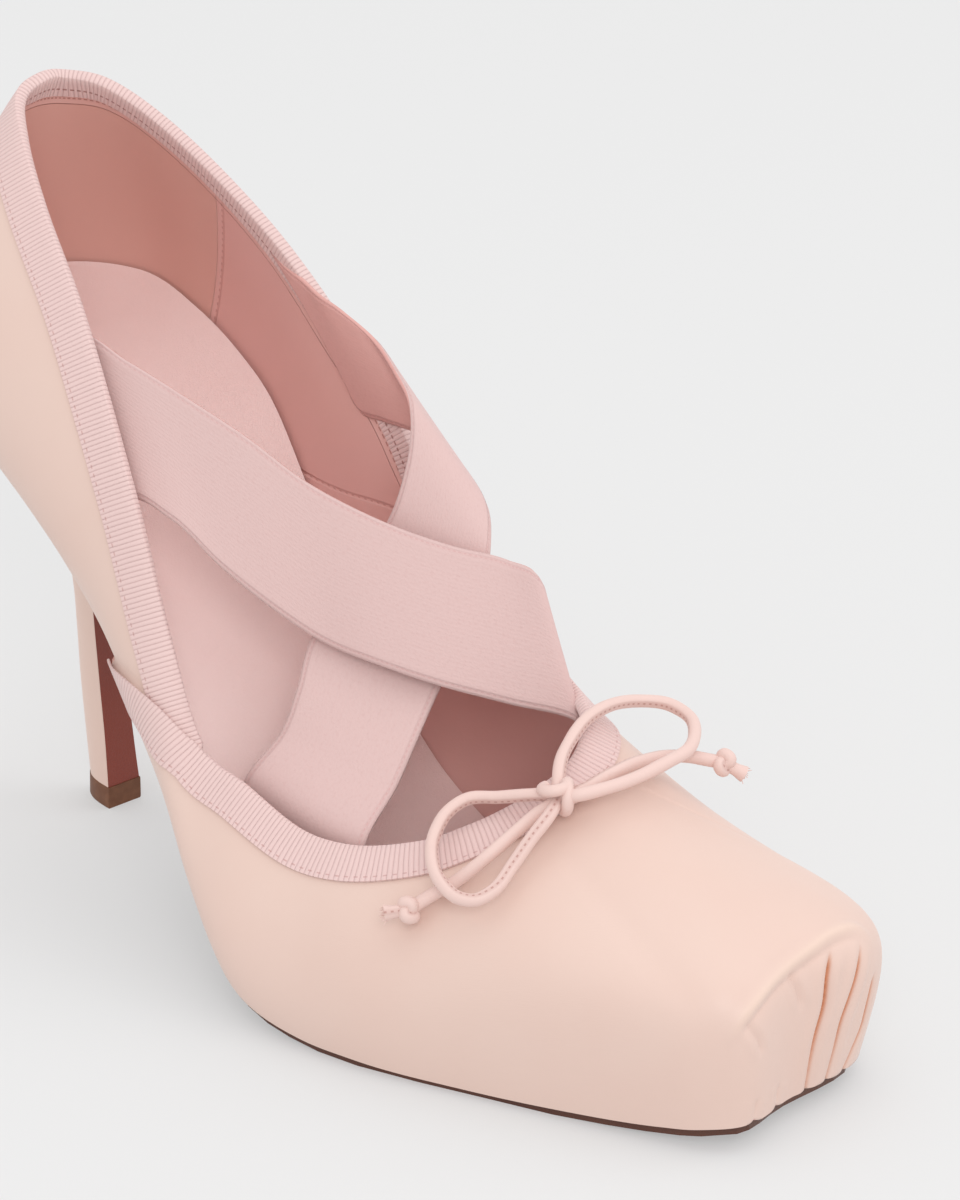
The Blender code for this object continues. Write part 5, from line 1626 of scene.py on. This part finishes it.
@dataclass
class Bow:
    """Satin cord tied in a bow at the throat: a knot, two loops, and two tails with knots of their own.

    Sizes are metres; the turns of the wrap and the hitch are half circles from and to.
    """

    finishes: Finishes
    diameter: float = 0.0023
    step: float = 0.0006
    seam_angle: float = 150.0
    unevenness: float = 0.03
    wave_lengths: tuple[float, float] = (0.0017, 0.0041)
    end_knot_size: float = 0.00064
    end_knot_radius: float = 0.00112
    end_knot_swing: float = 1.35
    end_knot_depth: float = 1.1
    end_knot_points: int = 90
    tip_span: tuple[float, float] = (0.0010, 0.0042)
    tip_radii: tuple[float, float, float] = (0.0011, 0.00115, 0.0015)
    tip_points: int = 10
    hairs: int = 26
    hair_start: float = 0.0039
    hair_spread: float = 0.0013
    hair_lean: float = 0.5
    hair_lengths: tuple[float, float] = (0.0005, 0.0013)
    hair_radius: float = 0.00007
    knot_way: tuple[float, float, float] = (-0.84, 0.53, 0.12)
    knot_lean: tuple[float, float, float] = (0.30, -0.25, 1.0)
    wrap_radius: float = 0.00108
    wrap_turns: tuple[float, float] = (-0.30, 1.95)
    wrap_size: tuple[float, float] = (0.00245, 0.00225)
    wrap_shift: tuple[float, float] = (0.0016, 0.0003)
    wrap_pitch: float = 0.00120
    hitch_radius: float = 0.00105
    hitch_turns: tuple[float, float] = (-0.30, 1.15)
    hitch_size: tuple[float, float, float] = (0.00205, 0.00225, 0.0005)
    hitch_shift: tuple[float, float] = (0.0006, 0.00190)

    def cord(
        self,
        side: str,
        tail: Sequence[Point],
        loop: Sequence[Point],
        end: Point,
        end_way: Sequence[float],
        seam: Sequence[tuple[float, float]],
    ) -> bpy.types.Object:
        """Make one side of the bow: a cord from its end knot through the bow's knot and round its loop.

        Args:
            side: near or far.
            tail: the tail's route out from the bow's knot.
            loop: the loop's route out from the bow's knot and back.
            end: where the cord's own end knot lies.
            end_way: the direction that the cord's tip leaves that knot in.
            seam: millimetres from the end knot, and the side that the cord's seam lies on there in degrees.

        Returns:
            The cord.
        """
        knot = np.array(KNOT)
        stops = [[end], np.array(tail)[::-1], knot[None], np.array(loop), knot[None]]
        route = np.concatenate(stops) * LAST.grade
        lengths = path_lengths(route)
        path = densify(route, int(lengths[-1] / self.step))
        along = path_lengths(path)
        radii = np.full(len(path), self.diameter / 2)
        short, long = self.wave_lengths
        radii *= 1 + self.unevenness * np.sin(along / short) * np.sin(along / long)
        marks = np.array(seam)
        lie = np.interp(along / MM, marks[:, 0], marks[:, 1]) - self.seam_angle
        rings = tube_rings(path, radii, 16, twist=np.radians(lie))
        piece = loft(f"bow_cord_{side}", rings, [self.finishes.cord], lengths=along, sharp=80)
        end_knot = self.end_knot(side, end, end_way)
        pieces = [piece, end_knot]
        for made in pieces:
            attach(made, "root")
        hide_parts(f"bow_loop_{side}", f"bow_tail_{side}")
        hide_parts(f"bow_end_knot_{side}")
        placed = LAST.place(path)
        leave = LAST.place(np.array(loop[-1]) * LAST.grade)
        return piece

    def end_knot(self, side: str, centre: Point, way: Sequence[float]) -> bpy.types.Object:
        """Make an overhand knot with the cord's frayed tip standing out of it."""
        middle = np.array(centre) * LAST.grade
        axis = unit(np.array(way, float))
        other = unit(np.cross(axis, [0.0, 0.0, 1.0]))
        third = np.cross(axis, other)
        turn = np.linspace(0, 2 * math.pi, self.end_knot_points)
        wide = np.sin(turn) + self.end_knot_swing * np.sin(2 * turn)
        tall = np.cos(turn) - self.end_knot_swing * np.cos(2 * turn)
        deep = -np.sin(3 * turn)
        size = self.end_knot_size
        path = middle + size * (wide[:, None] * other + tall[:, None] * third)
        path = path + size * self.end_knot_depth * deep[:, None] * axis
        rings = tube_rings(path[:-1], np.full(self.end_knot_points - 1, self.end_knot_radius), 12)
        knot = loft(f"bow_end_{side}", rings, [self.finishes.cord], closed=True)
        tip = middle + axis * np.linspace(*self.tip_span, self.tip_points)[:, None]
        flare = np.interp(np.linspace(0, 1, self.tip_points), [0, 0.5, 1], self.tip_radii)
        parts = [knot, loft(f"bow_tip_{side}", tube_rings(tip, flare, 14), [self.finishes.cord])]
        chance = np.random.default_rng(7 if side == "near" else 11)
        for index in range(self.hairs):
            angle = chance.uniform(0, 2 * math.pi)
            out = chance.uniform(0.2, 1.0) * self.hair_spread
            spot = (math.cos(angle) * other + math.sin(angle) * third) * out
            lean = unit(axis + self.hair_lean * chance.normal(size=3))
            reach = np.linspace(0, chance.uniform(*self.hair_lengths), 4)
            hair = middle + axis * self.hair_start + spot + lean * reach[:, None]
            rings = tube_rings(hair, np.full(4, self.hair_radius), 5)
            parts.append(loft(f"hair_{side}_{index}", rings, [self.finishes.cord]))
        return join_pieces(f"bow_end_{side}", parts)

    def knot(self) -> bpy.types.Object:
        """Make the bow's knot: a tight wrap down its front, and a hitch round the far loop's foot."""
        middle = np.array(KNOT) * LAST.grade
        side_way = unit(np.array(self.knot_way))
        raised = np.array(self.knot_lean)
        up_way = unit(raised - side_way * (raised @ side_way))
        long_way = np.cross(up_way, side_way)
        angle = np.linspace(*(turns * math.pi for turns in self.wrap_turns), 100)
        long_size, up_size = self.wrap_size
        side_shift, long_shift = self.wrap_shift
        shift = side_shift - self.wrap_pitch * (angle / math.pi - 0.5)
        wraps = (
            middle
            + side_way * shift[:, None]
            + long_way * (long_size * np.cos(angle) - long_shift)[:, None]
            + up_way * (up_size * np.sin(angle))[:, None]
        )
        swing = np.linspace(*(turns * math.pi for turns in self.hitch_turns), 60)
        side_size, long_size, up_size = self.hitch_size
        side_shift, up_shift = self.hitch_shift
        hitch = (
            middle
            - side_way * (side_shift + side_size * np.cos(swing))[:, None]
            - long_way * (long_size * np.sin(swing))[:, None]
            + up_way * (up_shift + up_size * np.sin(swing))[:, None]
        )
        wrap_rings = tube_rings(wraps, np.full(len(wraps), self.wrap_radius), 16, start_up=side_way)
        hitch_rings = tube_rings(hitch, np.full(len(hitch), self.hitch_radius), 16)
        pieces = [
            loft("bow_wrap", wrap_rings, [self.finishes.cord], sharp=80),
            loft("bow_hitch", hitch_rings, [self.finishes.cord], sharp=80),
        ]
        knot = join_pieces("bow_wraps", pieces)
        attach(knot, "root")
        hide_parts("bow_knot")
        return knot

    def build(self) -> list[bpy.types.Object]:
        """Make the whole bow."""
        return [
            self.knot(),
            self.cord("near", TAIL_LATERAL, LOOP_LATERAL, END_KNOT_LATERAL, (0.78, -0.6, -0.12), NEAR_SEAM),
            self.cord("far", TAIL_MEDIAL, LOOP_MEDIAL, END_KNOT_MEDIAL, (-0.62, 0.6, -0.5), FAR_SEAM),
        ]


# ---------------------------------------------------------------- insole, sole and heel


def dress(node: str, material: bpy.types.Material) -> bpy.types.Object:
    """Give a CAD node whose shape is right its finish."""
    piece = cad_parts[node]
    piece.data.materials.clear()
    piece.data.materials.append(material)
    return piece


class HeelRing(NamedTuple):
    """One section of the heel: heights of its front and back, half width, and where front and back are."""

    front_up: float
    back_up: float
    half_width: float
    front: float
    back: float


HEEL_RINGS = (
    HeelRing(4.9, 4.9, 3.9, 41.0, 32.0),
    HeelRing(9.0, 9.0, 3.7, 40.4, 31.2),
    HeelRing(15.0, 15.0, 3.5, 39.6, 30.2),
    HeelRing(25.0, 25.0, 3.3, 38.1, 28.8),
    HeelRing(35.0, 35.0, 3.3, 36.9, 28.0),
    HeelRing(44.0, 44.5, 3.8, 36.5, 27.3),
    HeelRing(51.0, 53.5, 5.1, 36.8, 25.8),
    HeelRing(56.0, 62.5, 7.5, 37.8, 22.4),
    HeelRing(60.5, 71.0, 11.4, 40.0, 17.0),
    HeelRing(64.5, 79.0, 16.4, 42.8, 11.6),
    HeelRing(68.0, 86.0, 21.6, 46.0, 7.2),
)


@dataclass
class Heel:
    """Satin-covered heel, the leather down its flat front, and its top piece."""

    finishes: Finishes
    centre: float = 1.1
    back_power: float = 0.8
    arc_points: int = 48
    front_points: int = 14
    seat_turn: float = 0.236
    seat_inset: float = 0.0010
    seat_drop: float = 0.00012
    lip: float = 0.00012
    leather_share: float = 0.985
    section_count: int = 70
    seat_sections: int = 10
    seat_bend: float = 6.0
    top_piece_height: float = 4.6
    worn_edge: tuple[tuple[float, float], ...] = ((0.0, 0.96), (0.35, 1.0), (4.2, 0.985))
    top_piece: HeelRing = HeelRing(0.0, 0.0, 4.1, 41.3, 31.8)

    def section(self, ring: Sequence[float]) -> np.ndarray:
        """Points of a D-shaped section, round the back from lateral to medial, then along the flat front."""
        front_up, back_up, half_width, front, back = ring
        angle = np.linspace(0, math.pi, self.arc_points)
        depth = front - back
        across = np.linspace(-1, 1, self.front_points + 2)[1:-1]
        side = self.centre + half_width * np.concatenate([np.cos(angle), across])
        arc = front - depth * np.sin(angle) ** self.back_power
        along = np.concatenate([arc, np.full(self.front_points, float(front))])
        up = front_up + (back_up - front_up) * np.clip((front - along) / depth, 0, 1)
        return np.stack([side, along, up], -1) * LAST.grade

    def seat(self) -> np.ndarray:
        """Points of the heel's seat, just under the shell's foot line."""
        turns = np.linspace(self.seat_turn, -self.seat_turn, self.arc_points)
        arc = LAST.shell(turns, 0.0) - LAST.normal(turns, np.zeros_like(turns)) * self.seat_inset
        share = np.linspace(0, 1, self.front_points + 2)[1:-1, None]
        ring = np.concatenate([arc, arc[-1] * (1 - share) + arc[0] * share])
        ring[:, 2] = LAST.foot_height(ring[:, 1], ring[:, 0]) - self.seat_drop
        return ring

    def rings(self) -> np.ndarray:
        """All the heel's sections, close together, from the top piece up to the seat."""
        table = np.array(HEEL_RINGS)
        table[0, :2] = self.top_piece_height
        heights = table[:, :2].mean(1)
        reads = np.linspace(heights[0], heights[-1], self.section_count)
        sections = [self.section(row) for row in smooth_curve(heights, table, reads)]
        seat = self.seat()
        below = sections[-1]
        bend = (sections[-1] - sections[-2]) * self.seat_bend
        for share in np.linspace(0, 1, self.seat_sections + 1)[1:]:
            rise = below + bend * share * (1 - share) ** 2
            sections.append(rise * (1 - share) + seat * share)
        return np.array(sections)

    def cover(self, rings: np.ndarray) -> bpy.types.Object:
        """Make the heel in its satin cover."""
        piece = loft("heel_cover", rings, [self.finishes.heel_satin], sharp=40)
        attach(piece, "root")
        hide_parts("heel")
        return piece

    def leather(self, rings: np.ndarray) -> bpy.types.Object:
        """Make the thin leather down the flat front, a little inside its edges."""
        order = [self.arc_points - 1, *range(self.arc_points, self.arc_points + self.front_points), 0]
        front = rings[:, order]
        middle = front.mean(1, keepdims=True)
        front = middle + (front - middle) * self.leather_share
        outward = unit(np.cross(np.gradient(front, axis=0), np.gradient(front, axis=1)))
        outward *= np.where(outward[..., 1:2] < 0, -1, 1)
        face = np.concatenate([front + outward * self.lip, (front - outward * self.lip)[:, ::-1]], 1)
        piece = loft("heel_breast", face, [self.finishes.breast], sharp=60)
        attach(piece, "root")
        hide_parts("heel_breast_flap")
        return piece

    def tip(self) -> bpy.types.Object:
        """Make the top piece, its lower edge worn round."""
        rows = []
        for height, grow in (*self.worn_edge, (self.top_piece_height, 0.97)):
            width = self.top_piece.half_width * grow
            ring = self.top_piece._replace(front_up=height, back_up=height, half_width=width)
            rows.append(self.section(ring))
        piece = loft("heel_tip", np.array(rows), [self.finishes.rubber], sharp=40)
        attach(piece, "root")
        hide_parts("heel_top_piece")
        return piece

    def build(self) -> list[bpy.types.Object]:
        """Make the heel's three pieces."""
        rings = self.rings()
        return [self.cover(rings), self.leather(rings), self.tip()]


class Cup(NamedTuple):
    """How far the insole's edge curls up at a distance from the back of the heel, in pattern millimetres."""

    along: float
    rise: float


INSOLE_CUP = (
    Cup(0.0, 4.5),
    Cup(20.0, 4.6),
    Cup(45.0, 4.0),
    Cup(80.0, 2.4),
    Cup(120.0, 0.8),
    Cup(220.0, 0.3),
)


@dataclass
class Underside:
    """Insole and outsole."""

    finishes: Finishes
    thickness: float = 0.0030
    inset: float = 0.0015
    low_rise: float = 0.012
    high_rise: float = 0.07
    lean: float = 0.9
    dish: float = 0.020
    dish_power: float = 3.0
    back_turn: float = 0.012
    last_turn: float = 0.91
    front_turn: float = 0.937
    rows: int = 110
    columns: int = 37

    def plate(self, turns: np.ndarray, rise: float) -> np.ndarray:
        """Points inside the shell by rows, from lateral to medial; the last row follows the toe's front."""
        across = np.linspace(-1, 1, self.columns)
        lateral, medial = (LAST.skin(side, rise, -self.inset, False) for side in (turns, 2 - turns))
        share = ((across + 1) / 2)[None, :, None]
        rows = lateral[:, None] * (1 - share) + medial[:, None] * share
        front = 1 + across * (1 - self.front_turn)
        return np.concatenate([rows, LAST.skin(front, rise, -self.inset, False)[None]])

    def insole(self) -> bpy.types.Object:
        """Make the insole, its edge cupped up round the heel."""
        turns = np.linspace(self.back_turn, self.last_turn, self.rows)
        bottom = self.plate(turns, self.low_rise)
        bottom[..., 2] = LAST.foot_height(bottom[..., 1], bottom[..., 0])
        cup_rows = np.array(INSOLE_CUP)
        cup = smooth_curve(cup_rows[:, 0] * LAST.grade[1], cup_rows[:, 1] * LAST.grade[2], bottom[..., 1])
        high = self.plate(turns, self.high_rise)
        reach = np.maximum(high[..., 2] - LAST.foot_height(high[..., 1], high[..., 0]), self.thickness)
        share = np.clip((self.thickness + cup) / reach, 0, 1)[..., None]
        top = bottom.copy()
        top[..., :2] += (high[..., :2] - bottom[..., :2]) * share * self.lean
        edge = np.concatenate([top[:, 0], top[-1], top[::-1, -1], top[0]])[:, :2]
        away = np.linalg.norm(top[..., None, :2] - edge, axis=-1).min(-1)
        curl = cup * np.clip(1 - away / self.dish, 0, 1) ** self.dish_power
        top[..., 2] = LAST.foot_height(top[..., 1], top[..., 0]) + self.thickness + curl
        rings = np.concatenate([top, bottom[:, ::-1]], 1)
        piece = loft("insole_sheet", rings, [self.finishes.insole], sharp=50)
        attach(piece, "root")
        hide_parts("insole")
        return piece

    def build(self) -> list[bpy.types.Object]:
        """Make the insole and dress the CAD solid of the outsole."""
        return [self.insole(), dress("outsole", self.finishes.sole)]


# ---------------------------------------------------------------- studio


@dataclass(frozen=True)
class Lamp:
    """One soft area light."""

    name: str
    place: tuple[float, float, float]
    aim: tuple[float, float, float]
    size: float
    power: float


@dataclass
class Studio:
    """Pale floor, soft lights and the camera."""

    floor_tone: float = 0.40
    floor_glow: float = 0.370
    floor_reach: float = 6.0
    world_strength: float = 0.937
    camera_place: tuple[float, float, float] = (-0.6080, -0.7016, 0.5076)
    camera_way: tuple[float, float, float] = (0.60711, 0.66822, -0.43000)
    camera_roll: float = 0.939
    lens: float = 177.5
    lamps: tuple[Lamp, ...] = (
        Lamp("key_light", (-0.75, -0.95, 0.95), (0.0, -0.03, 0.05), 0.7, 4.85),
        Lamp("fill_light", (0.9, -0.7, 1.1), (0.0, -0.02, 0.05), 1.2, 3.1),
        Lamp("top_light", (0.0, 0.0, 1.7), (0.0, 0.0, 0.0), 1.6, 3.0),
    )

    def add_camera(self) -> None:
        """Place the camera and make it the scene's."""
        data = bpy.data.cameras.new("view")
        data.sensor_width = 36.0
        data.lens = self.lens
        data.clip_start, data.clip_end = 0.05, 20.0
        camera = bpy.data.objects.new("view", data)
        way = Vector(self.camera_way).normalized()
        turned = way.to_track_quat("-Z", "Y").to_matrix().to_4x4()
        roll = Matrix.Rotation(math.radians(self.camera_roll), 4, "Z")
        camera.matrix_world = Matrix.Translation(self.camera_place) @ turned @ roll
        bpy.context.scene.collection.objects.link(camera)
        bpy.context.scene.camera = camera

    def add_floor(self) -> None:
        """Lay a wide pale floor."""
        reach = self.floor_reach
        corners = [(-reach, -reach, 0), (reach, -reach, 0), (reach, reach, 0), (-reach, reach, 0)]
        mesh = bpy.data.meshes.new("floor")
        mesh.from_pydata(corners, [], [(0, 1, 2, 3)])
        material, graph, shader = new_material("floor_paper")
        settle(graph, shader, Base_Color=(self.floor_tone,) * 3, Roughness=0.9, Specular_IOR_Level=0.1,
               Emission_Color=(1.0, 1.0, 1.0), Emission_Strength=self.floor_glow)
        mesh.materials.append(material)
        floor = bpy.data.objects.new("floor", mesh)
        bpy.context.scene.collection.objects.link(floor)

    def add_lights(self) -> None:
        """Hang the lamps and set the room's even light."""
        world = bpy.data.worlds.new("room")
        world.use_nodes = True
        background = world.node_tree.nodes["Background"]
        background.inputs["Color"].default_value = (1.0, 1.0, 1.0, 1.0)
        background.inputs["Strength"].default_value = self.world_strength
        bpy.context.scene.world = world
        for lamp in self.lamps:
            data = bpy.data.lights.new(lamp.name, "AREA")
            data.shape = "DISK"
            data.size = lamp.size
            data.energy = lamp.power
            light = bpy.data.objects.new(lamp.name, data)
            light.location = lamp.place
            way = Vector(lamp.aim) - Vector(lamp.place)
            light.rotation_euler = way.to_track_quat("-Z", "Y").to_euler()
            bpy.context.scene.collection.objects.link(light)

    def build(self) -> None:
        """Set the whole stage."""
        self.add_camera()
        self.add_floor()
        self.add_lights()
        bpy.context.scene.view_settings.view_transform = "Standard"


def main() -> None:
    """Build every piece in order and log each piece's face count."""
    logging.basicConfig(level=logging.INFO, format="%(message)s")
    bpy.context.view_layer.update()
    Studio().build()
    finishes = Finishes()
    makers = (Bow, Upper, Bindings, Straps, Heel, Underside)
    for maker in [kind(finishes) for kind in makers]:
        made = maker.build()
        for piece in made if isinstance(made, list) else [made]:
            LOG.info("%s: %s, %d faces", type(maker).__name__, piece.name, len(piece.data.polygons))


if __name__ == "__main__":
    main()
